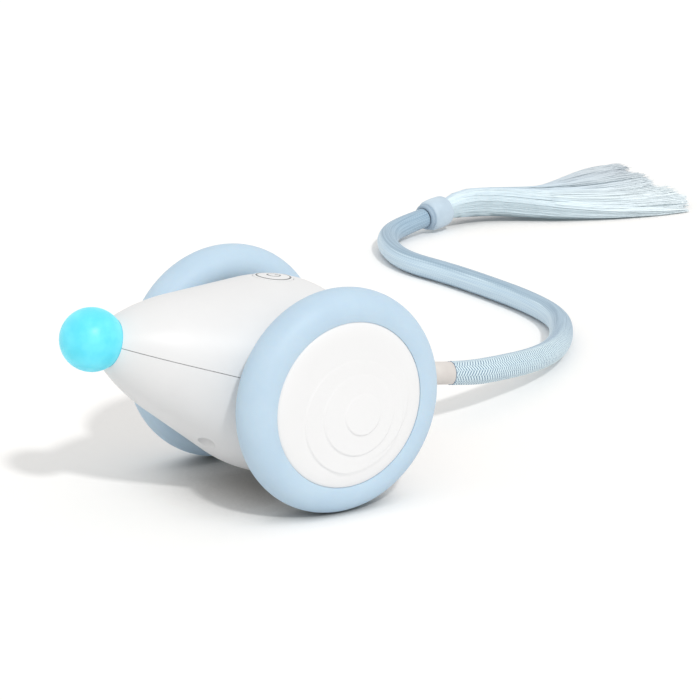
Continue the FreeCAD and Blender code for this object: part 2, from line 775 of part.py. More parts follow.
def build_nose():
    centre = (0, -d.nose_distance, 0)
    flange_start = -cavity_front + d.cup_gap
    flange_end = flange_start + d.neck_flange_thickness
    bore = d.led_radius + d.led_gap
    led_base = -led_board_front
    led_tip = led_base - d.led_length
    ball = fuse("ball_stock",
                sphere("ball", d.ball_radius, centre),
                cylinder("ball_neck", d.neck_radius, d.nose_distance + flange_end, centre, "Y"),
                cylinder("ball_flange", d.neck_flange, d.neck_flange_thickness, (0, flange_start, 0), "Y"))
    bore_start = led_tip + d.led_radius
    node("nose_ball", cut("nose_ball", ball,
                          cylinder("led_bore", bore, flange_end - bore_start + 1, (0, bore_start, 0), "Y"),
                          sphere("led_bore_end", bore, (0, bore_start, 0))))
    dome_start = led_tip + d.led_radius
    corners = [(0, led_base), (0, led_tip), (d.led_radius, dome_start), (d.led_radius, led_base - 1),
               (d.led_radius + 0.3, led_base - 1), (d.led_radius + 0.3, led_base)]
    corners[1] = (Size(0), free(led_tip))
    corners[2] = (free(d.led_radius), dome_start)
    led = revolved("nose_led", corners, {1: (0, dome_start, d.led_radius, True)}, "V_Axis")
    node("nose_led", led)
    board = cylinder("led_disc", d.led_board_radius, d.led_board_thickness, (0, -led_board_front, 0), "Y")
    node("led_board", group("led_board", board))


# Electronics

def build_battery():
    body = doc.addObject("PartDesign::Body", "battery")
    sketch = new_sketch(body, "battery_end", "XZ_Plane")
    half_width = d.battery_width / 2
    half_height = d.battery_height / 2
    outline(sketch, [(-half_width, -half_height), (half_width, -half_height),
                     (half_width, half_height), (-half_width, half_height)])
    bind(sketch, **{"AttachmentOffset.Base.z": battery_rear})
    pad = body.newObject("PartDesign::Pad", "battery_pad")
    pad.Profile = sketch
    bind(pad, Length=battery_front - battery_rear)
    doc.recompute()
    edges = ["Edge%d" % index for index, edge in enumerate(pad.Shape.Edges, start=1)
             if abs(edge.tangentAt(edge.FirstParameter).y) > 0.9]
    rounding = body.newObject("PartDesign::Fillet", "battery_rounding")
    rounding.Base = (pad, edges)
    bind(rounding, Radius=d.battery_edge)
    node("battery", body)


def build_main_board():
    plate = box("board_plate", (-half_board, -d.board_front, board_bottom), (half_board, board_rear, board_top))
    holes = [column("board_hole_" + side, d.board_screw_radius + d.peg_gap, board_bottom - 1, board_top + 1, x, y)
             for side, x, y in board_screw_places]
    node("main_board", cut("main_board", plate, *holes))
    screws = []
    for side, x, y in board_screw_places:
        head = column("board_head_" + side, d.board_screw_head, board_bottom - d.board_screw_head_height,
                      board_bottom, x, y)
        shank = column("board_shank_" + side, d.board_screw_radius, board_bottom,
                       board_top + d.board_screw_reach, x, y)
        screws.append(fuse("board_screw_" + side, head, shank))
    node("board_screws", group("board_screws", *screws))
    chips = [
        box("controller", (-4.5, 1.6, board_top), (0.5, 6.6, board_top + 1.0)),
        box("motor_driver", (2.5, 2.2, board_top), (6.4, 7.1, board_top + 1.4)),
        box("charger_chip", (-3.0, 8.2, board_top), (0.0, 11.1, board_top + 1.3)),
        box("battery_plug", (-d.plug_width / 2, -d.plug_front, board_bottom - d.plug_depth),
            (d.plug_width / 2, d.plug_length - d.plug_front, board_bottom)),
    ]
    node("board_chips", group("board_chips", *chips))


def build_charging_port():
    start = port_mouth - d.port_length
    casing = stadium("port_casing", d.port_width, d.port_height, start, port_mouth, port_z)
    inside = d.port_shell * 2
    hollow = stadium("port_hollow", d.port_width - inside, d.port_height - inside, start + 1.2,
                     port_mouth + 1, port_z)
    half_width = d.port_tongue_width / 2
    half_height = d.port_tongue_height / 2
    tongue = box("port_tongue", (-half_width, start + 1, port_z - half_height),
                 (half_width, port_mouth - 0.6, port_z + half_height))
    node("charging_port", fuse("charging_port", cut("port_case", casing, hollow), tongue))


def build_button():
    y = -d.button_position
    flange_bottom = button_flange_top - d.button_flange_thickness
    proud = egg("egg_proud", -d.button_rise, -mouth_front)
    stem = column("button_stem", d.button_radius, flange_bottom, far, 0, y)
    flange = column("button_flange_disc", d.button_flange, flange_bottom, button_flange_top, 0, y)
    node("power_button", fuse("power_button", common("button_top", stem, proud), flange))
    plunger_bottom = board_top + d.switch_height - d.plunger_depth
    plunger = column("plunger", d.plunger_radius, plunger_bottom, flange_bottom, 0, y)
    node("switch_plunger", group("switch_plunger", plunger))
    half = d.switch_width / 2
    block = box("switch_block", (-half, y - half, board_top), (half, y + half, board_top + d.switch_height))
    well = column("plunger_well", d.plunger_radius + d.plunger_gap,
                  plunger_bottom - d.button_travel - d.plunger_gap * 2, far, 0, y)
    node("tact_switch", cut("tact_switch", block, well))


def build_leads():
    """Pairs of insulated wires: battery to its plug, and LED board to main board."""
    battery_top = d.battery_height / 2
    plug_height = board_bottom - d.plug_depth / 2
    up = -battery_rear - d.lead_radius * 5
    routes = {"battery": (d.battery_lead_spread, [
        (up, battery_top), (up, plug_height), (-d.plug_front, plug_height)])}
    board_back = d.led_board_thickness - led_board_front
    rise = (board_back + d.led_rib - battery_front) / 2
    over = battery_top + d.lead_rise
    entry = d.lead_radius - d.board_front
    routes["led"] = (d.led_lead_spread, [
        (board_back, d.led_lead_height), (rise, d.led_lead_height), (rise, over), (entry, over),
        (entry, board_bottom)])
    for name, (spread, corners) in routes.items():
        leads = []
        for x in (spread.value, -spread.value):
            points = [Vector(x, as_size(y).value, as_size(z).value) for y, z in corners]
            leads.append(swept(points, d.lead_radius.value)[0])
        add_solid(name + "_leads", Part.makeCompound(leads), BODY_FRAME)


# Gear trains: gears turn round X; angles are measured from the rear towards the roof

first_outer = cover_inner - d.gear_gap
first_inner = first_outer - d.first_face
second_outer = first_inner - d.gear_gap
second_inner = second_outer - d.second_face
third_outer = second_inner - d.gear_gap
third_inner = third_outer - d.axle_gear_face
plate_outer = third_inner - d.plate_gap
plate_inner = plate_outer - d.plate_thickness
motor_front = first_inner - d.gear_gap - d.motor_boss
motor_back = motor_front - d.motor_length

idler_distance = d.gear_module / 2 * (d.pinion_teeth + d.idler_teeth)
second_idler_radius = d.gear_module / 2 * (d.pinion_teeth + d.axle_gear_teeth)


def corner_angle(side_a, side_b, opposite):
    """The angle between two sides of a triangle, from all three."""
    return arc_cosine((side_a * side_a + side_b * side_b - opposite * opposite) / (side_a * side_b * 2))


def polar(radius, angle):
    return radius * cosine(angle), radius * sine(angle)


class Train:
    """Places of one wheel's gears, from its motor round to the axle."""

    def __init__(self, side, motor_angle, turn):
        self.side = side
        self.sign = 1 if side == "right" else -1
        motor_step = corner_angle(d.motor_orbit, d.first_idler_radius, idler_distance)
        idler_step = corner_angle(d.first_idler_radius, second_idler_radius, idler_distance)
        first_angle = motor_angle + motor_step * turn
        self.motor_angle = motor_angle
        self.motor = polar(d.motor_orbit, motor_angle)
        self.first = polar(d.first_idler_radius, first_angle)
        self.second = polar(second_idler_radius, first_angle + idler_step * turn)
        self.axle = (Size(0), Size(0))

    def span(self, inner, outer):
        """Start and end along X of what lies between two distances from the middle."""
        return (inner, outer) if self.sign > 0 else (-outer, -inner)

    def bar(self, name, radius, inner, outer, place):
        start, end = self.span(inner, outer)
        return span_x("%s_%s" % (self.side, name), radius, start, end, *place)


TRAINS = [Train("right", d.right_motor_angle, -1), Train("left", d.left_motor_angle, 1)]


def involute(angle):
    return math.tan(angle) - angle


def tooth_points(teeth, phase):
    """Corner points of all teeth as (y, z): root, flank middle and tip on each side."""
    module = d.gear_module.value
    pitch = module * teeth / 2
    base = pitch * math.cos(math.radians(20))
    half_at_pitch = math.pi / (2 * teeth) - d.gear_backlash.value / (4 * pitch)
    half_angles = []
    for radius in (pitch - 1.25 * module, pitch, pitch + module):
        pressure = math.acos(min(1.0, base / radius))
        half_angles.append((radius, half_at_pitch + involute(math.radians(20)) - involute(pressure)))
    sides = [(radius, -half) for radius, half in half_angles]
    sides += [(radius, half) for radius, half in reversed(half_angles)]
    points = []
    for tooth in range(teeth):
        middle = phase + 2 * math.pi * tooth / teeth
        points += [(radius * math.cos(middle + offset), radius * math.sin(middle + offset))
                   for radius, offset in sides]
    return points


def toothed_disc(teeth, phase, place, start, end):
    y0, z0 = (value.value for value in place)
    corners = [Vector(start, y + y0, z + z0) for y, z in tooth_points(teeth, phase)]
    return Part.Face(Part.makePolygon(corners + corners[:1])).extrude(Vector(end - start, 0, 0))


def meshing_phase(from_teeth, from_phase, from_place, to_teeth, to_place):
    """Turn of the driven gear that puts its gap where the driving gear has a tooth."""
    dy = to_place[0].value - from_place[0].value
    dz = to_place[1].value - from_place[1].value
    line = math.atan2(dz, dy)
    offset = (from_phase - line) * from_teeth / (2 * math.pi)
    return line + math.pi + (0.5 - offset) * 2 * math.pi / to_teeth


def gear(label, discs, place, bore):
    """A gear of one or more toothed discs: teeth, phase, and start and end along X."""
    y0, z0 = (value.value for value in place)
    solid = None
    for teeth, phase, start, end in discs:
        disc = toothed_disc(teeth, phase, place, start, end)
        solid = disc if solid is None else solid.fuse(disc)
    start = min(disc[2] for disc in discs)
    end = max(disc[3] for disc in discs)
    hole = Part.makeCylinder(bore.value, end - start + 2, Vector(start - 1, y0, z0), Vector(1, 0, 0))
    piece = doc.addObject("Part::Feature", label)
    piece.Shape = solid.cut(hole)
    node(label, piece)


def build_gears(train):
    """The axle gear, two stepped idlers and the motor pinion, all in mesh."""
    pinion = int(d.pinion_teeth.value)
    idler = int(d.idler_teeth.value)
    axle_gear = int(d.axle_gear_teeth.value)
    second_phase = meshing_phase(axle_gear, 0.0, train.axle, pinion, train.second)
    first_phase = meshing_phase(idler, second_phase, train.second, pinion, train.first)
    pinion_phase = meshing_phase(idler, first_phase, train.first, pinion, train.motor)

    def disc(teeth, phase, inner, outer):
        start, end = train.span(inner, outer)
        return (teeth, phase, start.value, end.value)

    running_bore = d.idler_pin_radius + d.running_clearance
    side = train.side
    gear(side + "_axle_gear", [disc(axle_gear, 0.0, third_inner, third_outer)], train.axle, d.axle_radius)
    gear(side + "_second_idler", [disc(idler, second_phase, second_inner, second_outer),
                                  disc(pinion, second_phase, third_inner, second_inner)],
         train.second, running_bore)
    gear(side + "_first_idler", [disc(idler, first_phase, first_inner, first_outer),
                                 disc(pinion, first_phase, second_inner, first_inner)],
         train.first, running_bore)
    gear(side + "_motor_pinion", [disc(pinion, pinion_phase, first_inner, first_outer)],
         train.motor, d.motor_shaft_radius)


def motor_form(name, train, grow, inner, outer):
    """A can with two flats, one facing the axle, grown all round."""
    y, z = train.motor
    start, end = train.span(inner, outer)
    flat = d.motor_flats / 2 + grow
    reach = d.motor_radius * 2
    away = train.motor_angle
    slab = doc.addObject("Part::Box", "%s_%s_flats" % (train.side, name))
    bind(slab, Length=end - start, Width=flat * 2, Height=reach * 2)
    corner = (start, y - flat * cosine(away) + reach * sine(away), z - flat * sine(away) - reach * cosine(away))
    slab.setExpression("Placement", placement_formula(corner, (1, 0, 0), away))
    return common("%s_%s" % (train.side, name),
                  span_x("%s_%s_round" % (train.side, name), d.motor_radius + grow, start, end, y, z), slab)


def build_motor(train):
    can = motor_form("can", train, Size(0), motor_back, motor_front)
    boss = train.bar("motor_nose", d.motor_boss_radius, motor_front, motor_front + d.motor_boss, train.motor)
    shaft_start = motor_front - d.motor_shaft_depth
    bore = train.bar("motor_bore", d.motor_shaft_radius + d.running_clearance,
                     shaft_start - 0.2, motor_front + 2, train.motor)
    label = train.side + "_motor"
    node(label, cut(label, fuse(label + "_stock", can, boss), bore))
    shaft = train.bar("motor_spindle", d.motor_shaft_radius, shaft_start, first_outer, train.motor)
    node(label + "_shaft", group(label + "_shaft", shaft))


def drive_outline(name, train, inner, outer):
    """The gearbox plates' outline: a disc that follows the dome, cut flat in front and on top."""
    radius = root(cavity_radius * cavity_radius - cover_outer * cover_outer) - d.drive_clearance
    start, end = train.span(inner, outer)
    return common("%s_%s" % (train.side, name),
                  span_x("%s_%s_disc" % (train.side, name), radius, start, end, -d.dome_offset, 0),
                  box("%s_%s_trim" % (train.side, name), (start, -d.frame_front, -far), (end, far, d.frame_top)))


def foot(name, y, z):
    return box(name, (-plate_outer, y - d.foot_half_length, z),
               (plate_outer, y + d.foot_half_length, z + d.foot_thickness))


def build_drive_frame():
    stock = [span_x("axle_tube", d.axle_tube, -plate_outer, plate_outer, 0, 0),
             span_x("front_post", d.frame_post, -cover_inner, cover_inner, d.front_post_y, d.front_post_z),
             span_x("rear_post", d.frame_post, -cover_inner, cover_inner, d.rear_post_y, d.rear_post_z),
             foot("front_foot", d.front_foot_y, d.front_foot_z),
             foot("rear_foot", d.rear_foot_y, d.rear_foot_z)]
    tools = [span_x("axle_tube_bore", d.axle_radius + d.running_clearance, -far, far, 0, 0),
             column("front_foot_hole", d.frame_screw_radius + d.peg_gap, d.front_foot_z - 1,
                    d.front_foot_z + d.foot_thickness + 1, 0, d.front_foot_y),
             column("rear_foot_hole", d.peg_radius + d.peg_gap, d.rear_foot_z - 1,
                    d.rear_foot_z + d.foot_thickness + 1, 0, d.rear_foot_y)]
    for train in TRAINS:
        stock.append(drive_outline("plate", train, plate_inner, plate_outer))
        stock.append(motor_form("sleeve", train, d.motor_gap + d.motor_sleeve, -plate_inner, plate_outer))
        tools.append(motor_form("pocket", train, d.motor_gap, -plate_inner, far))
        for name, place in (("first", train.first), ("second", train.second)):
            tools.append(train.bar(name + "_pin_hole", d.idler_pin_radius, plate_inner - 1, far, place))
        for name, y, z in (("front", d.front_post_y, d.front_post_z), ("rear", d.rear_post_y, d.rear_post_z)):
            tools.append(train.bar(name + "_cover_pilot", d.cover_screw_radius,
                                   cover_inner - d.cover_screw_depth - 0.3, far, (y, z)))
    node("drive_frame", cut("drive_frame", fuse("drive_frame_stock", *stock), *tools))

    top = d.front_foot_z + d.foot_thickness
    head = column("frame_screw_top", d.frame_screw_head, top, top + d.frame_screw_head_height, 0, d.front_foot_y)
    shank = column("frame_screw_shank", d.frame_screw_radius, d.front_foot_z - d.frame_screw_reach, top,
                   0, d.front_foot_y)
    node("frame_screw", fuse("frame_screw", head, shank))


def build_gear_covers():
    screws = []
    pins = []
    for train in TRAINS:
        posts = (("front", (d.front_post_y, d.front_post_z)), ("rear", (d.rear_post_y, d.rear_post_z)))
        holes = [train.bar("bush_hole", d.bush_radius, cover_inner - 1, far, train.axle)]
        for name, place in (("first", train.first), ("second", train.second)):
            holes.append(train.bar(name + "_cover_pin_hole", d.idler_pin_radius, cover_inner - 1, far, place))
            pins.append(train.bar(name + "_pin", d.idler_pin_radius, plate_inner, cover_outer, place))
        for name, place in posts:
            holes.append(train.bar(name + "_screw_hole", d.cover_screw_radius + d.peg_gap, cover_inner - 1,
                                   cover_outer + 1, place))
            holes.append(train.bar(name + "_screw_sink", d.cover_screw_head + d.peg_gap,
                                   cover_inner + d.cover_thickness / 2, far, place))
            head = train.bar(name + "_screw_top", d.cover_screw_head, cover_inner + d.cover_thickness / 2,
                             cover_outer, place)
            shank = train.bar(name + "_screw_shank", d.cover_screw_radius,
                              cover_inner - d.cover_screw_depth, cover_inner + d.cover_thickness / 2, place)
            screws.append(fuse("%s_%s_cover_screw" % (train.side, name), head, shank))
        label = train.side + "_gear_cover"
        node(label, cut(label, drive_outline("cover_blank", train, cover_inner, cover_outer), *holes))
    node("idler_pins", group("idler_pins", *pins))
    node("cover_screws", group("cover_screws", *screws))


def build_axle(train):
    side = train.side
    middle = d.axle_middle_gap / 2
    label = side + "_axle"
    rod = train.bar("axle_rod", d.axle_radius, middle, d.axle_end, train.axle)
    pilot = train.bar("axle_pilot", d.wheel_screw_radius, d.axle_end - d.wheel_screw_depth - 0.5, far, train.axle)
    node(label, cut(label, rod, pilot))
    label = side + "_axle_bush"
    sleeve = train.bar("bush_sleeve", d.bush_radius, d.bush_inner, d.bush_outer, train.axle)
    bore = train.bar("bush_bore", d.axle_radius + d.running_clearance, d.bush_inner - 1, d.bush_outer + 1, train.axle)
    node(label, cut(label, sleeve, bore))


# Wheels, in the wheel's own frame with the outside at +X

inner_face = d.wheel_offset - d.rim_inner_face
outer_face = d.wheel_offset + d.rim_outer_face
section_height = d.wheel_radius - d.tyre_section


def on_section(radius):
    """Distance from the tyre's middle plane to its round side, at a radius."""
    height = radius - section_height
    return root(d.tyre_section * d.tyre_section - height * height)


def build_tyre(side, frame):
    seat_start = inner_face + d.rim_flange_thickness
    seat_end = outer_face - d.rim_flange_thickness
    inner_radius = d.rim_inner_flange + d.tyre_gap
    outer_radius = d.cap_radius + d.tyre_gap
    flange_radius = d.rim_outer_flange + d.tyre_gap
    corners = [
        (seat_start, d.rim_seat),
        (seat_end, d.rim_seat),
        (seat_end, flange_radius),
        (outer_face, flange_radius),
        (outer_face, outer_radius),
        (free(d.wheel_offset + on_section(outer_radius)), outer_radius),
        (free(d.wheel_offset - on_section(inner_radius)), inner_radius),
        (seat_start, inner_radius),
    ]
    arcs = {5: (d.wheel_offset, section_height, d.tyre_section, True)}
    node(side + "_tyre", revolved(side + "_tyre", corners, arcs), frame)


def build_rim(side, frame):
    web_start = inner_face + d.rim_web_inset
    web_end = web_start + d.rim_web
    barrel = d.rim_seat - d.rim_wall
    body = revolved(side + "_wheel_rim", [
        (d.rim_hub_start, d.axle_radius),
        (d.axle_end, d.axle_radius),
        (d.axle_end, d.rim_hub),
        (web_end, d.rim_hub),
        (web_end, barrel),
        (outer_face, barrel),
        (outer_face, d.rim_outer_flange),
        (outer_face - d.rim_flange_thickness, d.rim_outer_flange),
        (outer_face - d.rim_flange_thickness, d.rim_seat),
        (inner_face + d.rim_flange_thickness, d.rim_seat),
        (inner_face + d.rim_flange_thickness, d.rim_inner_flange),
        (inner_face, d.rim_inner_flange),
        (inner_face, barrel),
        (web_start, barrel),
        (web_start, d.rim_hub),
        (d.rim_hub_start, d.rim_hub),
    ])
    sketch = new_sketch(body, side + "_rib_outline")
    overlap = d.rim_wall / 2
    outline(sketch, [(inner_face + overlap, d.rim_hub - overlap), (web_start + overlap, d.rim_hub - overlap),
                     (web_start + overlap, barrel + overlap), (inner_face + overlap, barrel + overlap)])
    rib = body.newObject("PartDesign::Pad", side + "_rib")
    rib.Profile = sketch
    rib.Midplane = True
    bind(rib, Length=d.rim_rib)
    ribs = body.newObject("PartDesign::PolarPattern", side + "_ribs")
    ribs.Originals = [rib]
    ribs.Axis = (sketch, ["H_Axis"])
    ribs.Angle = 360
    ribs.Occurrences = 6
    body.Tip = ribs
    node(side + "_wheel_rim", body, frame)


def build_wheel_cap(side, frame):
    edge = outer_face + d.cap_edge
    lip = edge + d.cap_lip_rise
    lip_radius = d.cap_radius - d.cap_lip_width
    back = outer_face - d.cap_skirt_depth
    skirt = d.rim_seat - d.rim_wall - d.tyre_gap / 2
    disc = revolved(side + "_cap_disc", [
        (outer_face + d.cap_hollow, 0),
        (lip, 0),
        (lip, lip_radius),
        (edge, d.cap_radius),
        (outer_face, d.cap_radius),
        (outer_face, skirt),
        (back, skirt),
        (back, skirt - d.cap_skirt),
        (outer_face + d.cap_hollow, skirt - d.cap_skirt),
    ])
    steps = []
    for index, (radius, y, z) in enumerate(SWIRL_DISCS):
        steps.append(span_x("%s_swirl_%d" % (side, index), Size(radius), lip - 0.5,
                            lip + d.swirl_step * (index + 1), y, z))
    node(side + "_wheel_cap", fuse(side + "_wheel_cap", disc, *steps), frame)


def build_wheel_screw(side, frame):
    head = span_x(side + "_wheel_screw_top", d.wheel_screw_head, d.axle_end,
                  d.axle_end + d.wheel_screw_head_height, 0, 0)
    shank = span_x(side + "_wheel_screw_shank", d.wheel_screw_radius, d.axle_end - d.wheel_screw_depth,
                   d.axle_end, 0, 0)
    node(side + "_wheel_screw", fuse(side + "_wheel_screw", head, shank), frame)


# Tail

def build_tail_socket():
    node("tail_socket", revolved("tail_socket", [
        (d.ferrule_radius + d.socket_gap, socket_start),
        (d.socket_inner_flange, socket_start),
        (d.socket_inner_flange, socket_groove_start),
        (d.socket_radius, socket_groove_start),
        (d.socket_radius, socket_groove_end),
        (d.socket_flange, socket_groove_end),
        (d.socket_flange, socket_end),
        (d.ferrule_radius + d.socket_gap, socket_end),
    ], axis="V_Axis"), TAIL_FRAME)


def tail_root():
    """The ferrule's corners: its end in the socket and its bend."""
    pitch = math.radians(d.tail_pitch.value)
    straight = Vector(0, math.cos(pitch), -math.sin(pitch))
    dome = Vector(0, dome_y.value, dome_z.value)
    return [dome + straight * socket_start.value, dome + straight * d.ferrule_bend.value]


def tail_points():
    """The cord's corners from the ferrule's end to the bead."""
    end = Vector(*TAIL_ROUTE[0])
    straight = (end - tail_root()[-1]).normalize()
    return [end, end + straight * d.tail_exit.value] + [Vector(*point) for point in TAIL_ROUTE[1:]]


def build_ferrule():
    corners = tail_root() + [tail_points()[0]]
    sleeve = swept(corners, d.ferrule_radius.value)[0]
    bore = swept(corners, d.ferrule_bore.value)[0]
    add_solid("tail_ferrule", sleeve.cut(bore))


def build_tail_cord():
    tube, path, radii = swept(tail_points(), d.tail_radius.value)
    expected = math.pi * d.tail_radius.value ** 2 * path.Length
    print("tail arc radii", [round(radius, 1) for radius in radii])
    print("tail length %.1f, volume %.0f of %.0f, lowest %.2f"
          % (path.Length, tube.Volume, expected, tube.optimalBoundingBox().ZMin))
    add_solid("tail_cord", tube)


def build_bead():
    """A barrel-shaped bead on the tail's end. Returns where the tassel starts, and its heading."""
    rounding = d.bead_radius - d.bead_mouth
    bead = revolved("tail_bead", [
        (0, 0),
        (d.bead_mouth, free(Size(0))),
        (free(d.bead_radius), rounding),
        (free(d.bead_radius), d.bead_length - rounding),
        (d.bead_mouth, free(d.bead_length)),
        (0, d.bead_length),
    ], {1: (d.bead_mouth, rounding, rounding, True),
        3: (d.bead_mouth, d.bead_length - rounding, rounding, True)}, "V_Axis")
    before, end = tail_points()[-2:]
    along = (end - before).normalize()
    bead.Placement = FreeCAD.Placement(end, FreeCAD.Rotation(Vector(0, 1, 0), along))
    nodes["tail_bead"] = bead
    return end + along * d.bead_length.value, along


def build_tassel(start, along):
    """The outer form of the loose strands, from the bead's mouth."""
    across = along.cross(Vector(0, 0, 1)).normalize()
    upright = across.cross(along)
    radius = d.bead_mouth.value
    mouth = Part.Ellipse(start + across * radius, start + upright * radius * 0.98, start)
    sections = [Part.Wire(mouth.toShape())]
    for centre, half_width, half_height in TASSEL_SECTIONS:
        middle = Vector(*centre)
        ring = Part.Ellipse(middle + Vector(half_width, 0, 0), middle + Vector(0, 0, half_height), middle)
        sections.append(Part.Wire(ring.toShape()))
    add_solid("tail_tassel", Part.makeLoft(sections, True))


def check_and_export():
    """Stop on a broken feature, then write one file for each node."""
    for item in doc.Objects:
        state = [word for word in item.State if word in ("Invalid", "Error")]
        if state or not getattr(item, "isValid", lambda: True)():
            raise RuntimeError("broken feature: " + item.Label)
        if item.TypeId == "Sketcher::SketchObject" and not item.FullyConstrained:
            raise RuntimeError("loose sketch: " + item.Label)
    for label, piece in nodes.items():
        shape = piece.Shape
        if shape.isNull() or not shape.isValid() or not shape.Solids or shape.Volume <= 0:
            raise RuntimeError("bad solid: " + label)
        shape.exportStep("parts/%s.step" % label)
        bounds = shape.BoundBox
        print("%-20s solids %d  volume %8.0f  x %6.1f %6.1f  y %6.1f %6.1f  z %6.1f %6.1f"
              % (label, len(shape.Solids), shape.Volume, bounds.XMin, bounds.XMax,
                 bounds.YMin, bounds.YMax, bounds.ZMin, bounds.ZMax))


def main():
    os.makedirs("parts", exist_ok=True)
    build_shells()
    build_case_screws()
    build_nose()
    build_battery()
    build_main_board()
    build_leads()
    build_charging_port()
    build_button()
    build_drive_frame()
    build_gear_covers()
    for train in TRAINS:
        build_gears(train)
        build_motor(train)
        build_axle(train)
    for side, frame in WHEEL_FRAME.items():
        build_tyre(side, frame)
        build_rim(side, frame)
        build_wheel_cap(side, frame)
        build_wheel_screw(side, frame)
    build_tail_socket()
    build_ferrule()
    build_tail_cord()
    start, along = build_bead()
    build_tassel(start, along)
    doc.recompute()
    check_and_export()


main()
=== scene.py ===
import bpy
import bmesh
import json
import math
from mathutils import Matrix, Vector


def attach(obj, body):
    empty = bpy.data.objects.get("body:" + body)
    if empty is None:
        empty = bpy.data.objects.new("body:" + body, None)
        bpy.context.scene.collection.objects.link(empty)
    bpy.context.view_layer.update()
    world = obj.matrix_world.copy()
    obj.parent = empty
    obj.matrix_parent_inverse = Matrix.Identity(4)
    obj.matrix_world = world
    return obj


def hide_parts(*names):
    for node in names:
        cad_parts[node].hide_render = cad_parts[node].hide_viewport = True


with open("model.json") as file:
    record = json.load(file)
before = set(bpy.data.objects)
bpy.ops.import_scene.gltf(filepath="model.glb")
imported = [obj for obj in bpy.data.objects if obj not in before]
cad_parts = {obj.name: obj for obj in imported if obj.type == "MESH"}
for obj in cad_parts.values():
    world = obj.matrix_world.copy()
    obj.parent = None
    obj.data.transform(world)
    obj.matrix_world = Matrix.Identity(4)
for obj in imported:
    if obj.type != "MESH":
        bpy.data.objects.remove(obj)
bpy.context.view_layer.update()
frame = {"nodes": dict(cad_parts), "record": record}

MM = 0.001
AXLE_Y = 17.8549        # the axle line, in millimetres behind the body's middle and over the floor
AXLE_Z = 31.0
TILT = math.radians(18)

# The egg-shaped body in its own frame, in millimetres: y runs along its axis from the axle line,
# and the nose is at -y. Its skin is three arcs turned round that axis, with a straight flank
# between the last two. An arc has the y of its centre, the distance of its centre from the axis
# (below zero where it lies across the axis) and its radius.
REAR_DOME = (-2.5, 0.0, 27.4)
BELLY_ARC = (-2.5, -12.5, 39.9)
SNOUT_ARC = (-16.342, -43.094, 63.5)
DOME_FRONT = -2.5       # the rear dome meets the belly's arc here
FLANK_REAR = -16.8
FLANK_FRONT = -39.1
FLANK_RADIUS = 24.749   # at the flank's rear end
FLANK_SLOPE = math.asin((BELLY_ARC[0] - FLANK_REAR) / BELLY_ARC[2])
BUTTON_RISE = 0.15      # the button's top over the skin
BUTTON_CENTRE = (0, -10.4, 27)
WELL_RADIUS = 22.3      # of the round well beside each wheel
NOSE_CENTRE = (0, -61.1, 0)
NOSE_CUP_RADIUS = 8.7   # of the hollow that the nose ball sits in
SKIN_NEARNESS = 0.04    # a corner this close to a form lies on it
HOLLOW_NEARNESS = 0.03
LEAST_COSINE = 0.9      # between a face and the form that it lies on

# The tail's route from the ferrule to the bead, in metres
TAIL_ROUTE = [
    (-0.0143, 0.08625, 0.0171),
    (-0.01894, 0.0975, 0.01425),
    (-0.0241, 0.1099, 0.0123),
    (-0.0345, 0.1312, 0.0089),
    (-0.0474, 0.1507, 0.0065),
    (-0.0650, 0.1674, 0.0049),
    (-0.0848, 0.1812, 0.0041),
    (-0.1077, 0.1860, 0.0041),
    (-0.1317, 0.1867, 0.0041),
    (-0.1552, 0.1864, 0.0041),
    (-0.1794, 0.1834, 0.0041),
    (-0.2016, 0.1906, 0.0041),
    (-0.2176, 0.2017, 0.0043),
    (-0.2236, 0.2130, 0.0052),
    (-0.2256, 0.2236, 0.0065),
]
TAIL_RADIUS = 3.9
TAIL_GIRTH = 2 * math.pi * TAIL_RADIUS
BRAID_PAIRS = 14        # pairs of strands round the sleeve
BRAID_RATE = 18         # strands crossed in one girth of length
BRAID_UNDER = 0.45      # height of a strand that runs under the others, as a share of one on top
BRAID_RELIEF = 0.2      # millimetres from the crest of a strand to the gap beside it
SLEEVE_STEP = 0.33      # millimetres between two rings of the sleeve's mesh
SLEEVE_SIDES = 112
FERRULE_GRIP = 0.3      # how far the sleeve is drawn in on the ferrule, and over which length
FERRULE_GRIP_LENGTH = 20
BEAD_GRIP = 0.2         # the same before the bead
BEAD_GRIP_LENGTH = 12
RELIEF_LOST = 0.6       # share of the relief that fades away, from this distance and over this length
FADE_START = 60
FADE_LENGTH = 50
SLEEVE_SLANT = 2.4      # how much further the sleeve reaches over the ferrule on its longer side
LONGER_SIDE = Vector((0.90, 0.30, 0.32))


# Places and directions


def body_place(x, y, z):
    """A point of the tilted body's own frame, in millimetres, as a place in the scene."""
    return Vector((
        x,
        AXLE_Y + y * math.cos(TILT) + z * math.sin(TILT),
        AXLE_Z - y * math.sin(TILT) + z * math.cos(TILT),
    )) * MM


def in_body(place):
    """A place in the scene, in the tilted body's own frame and in millimetres."""
    y, z = place.y / MM - AXLE_Y, place.z / MM - AXLE_Z
    return Vector((
        place.x / MM,
        y * math.cos(TILT) - z * math.sin(TILT),
        y * math.sin(TILT) + z * math.cos(TILT),
    ))


def out_of_body(direction):
    """A direction of the tilted body's own frame, as a direction in the scene."""
    x, y, z = direction
    return Vector((x, y * math.cos(TILT) + z * math.sin(TILT), -y * math.sin(TILT) + z * math.cos(TILT)))


def eased(share):
    """A share from 0 to 1, held at both ends and with soft corners there."""
    share = max(0.0, min(1.0, share))
    return share * share * (3 - 2 * share)


# Mesh helpers


def make_object(name, data):
    """A new object of the scene that holds a mesh, a curve, a lamp or a camera."""
    piece = bpy.data.objects.new(name, data)
    bpy.context.scene.collection.objects.link(piece)
    return piece


def mesh_from(name, points, faces):
    mesh = bpy.data.meshes.new(name)
    mesh.from_pydata(points, [], faces)
    mesh.update()
    return mesh


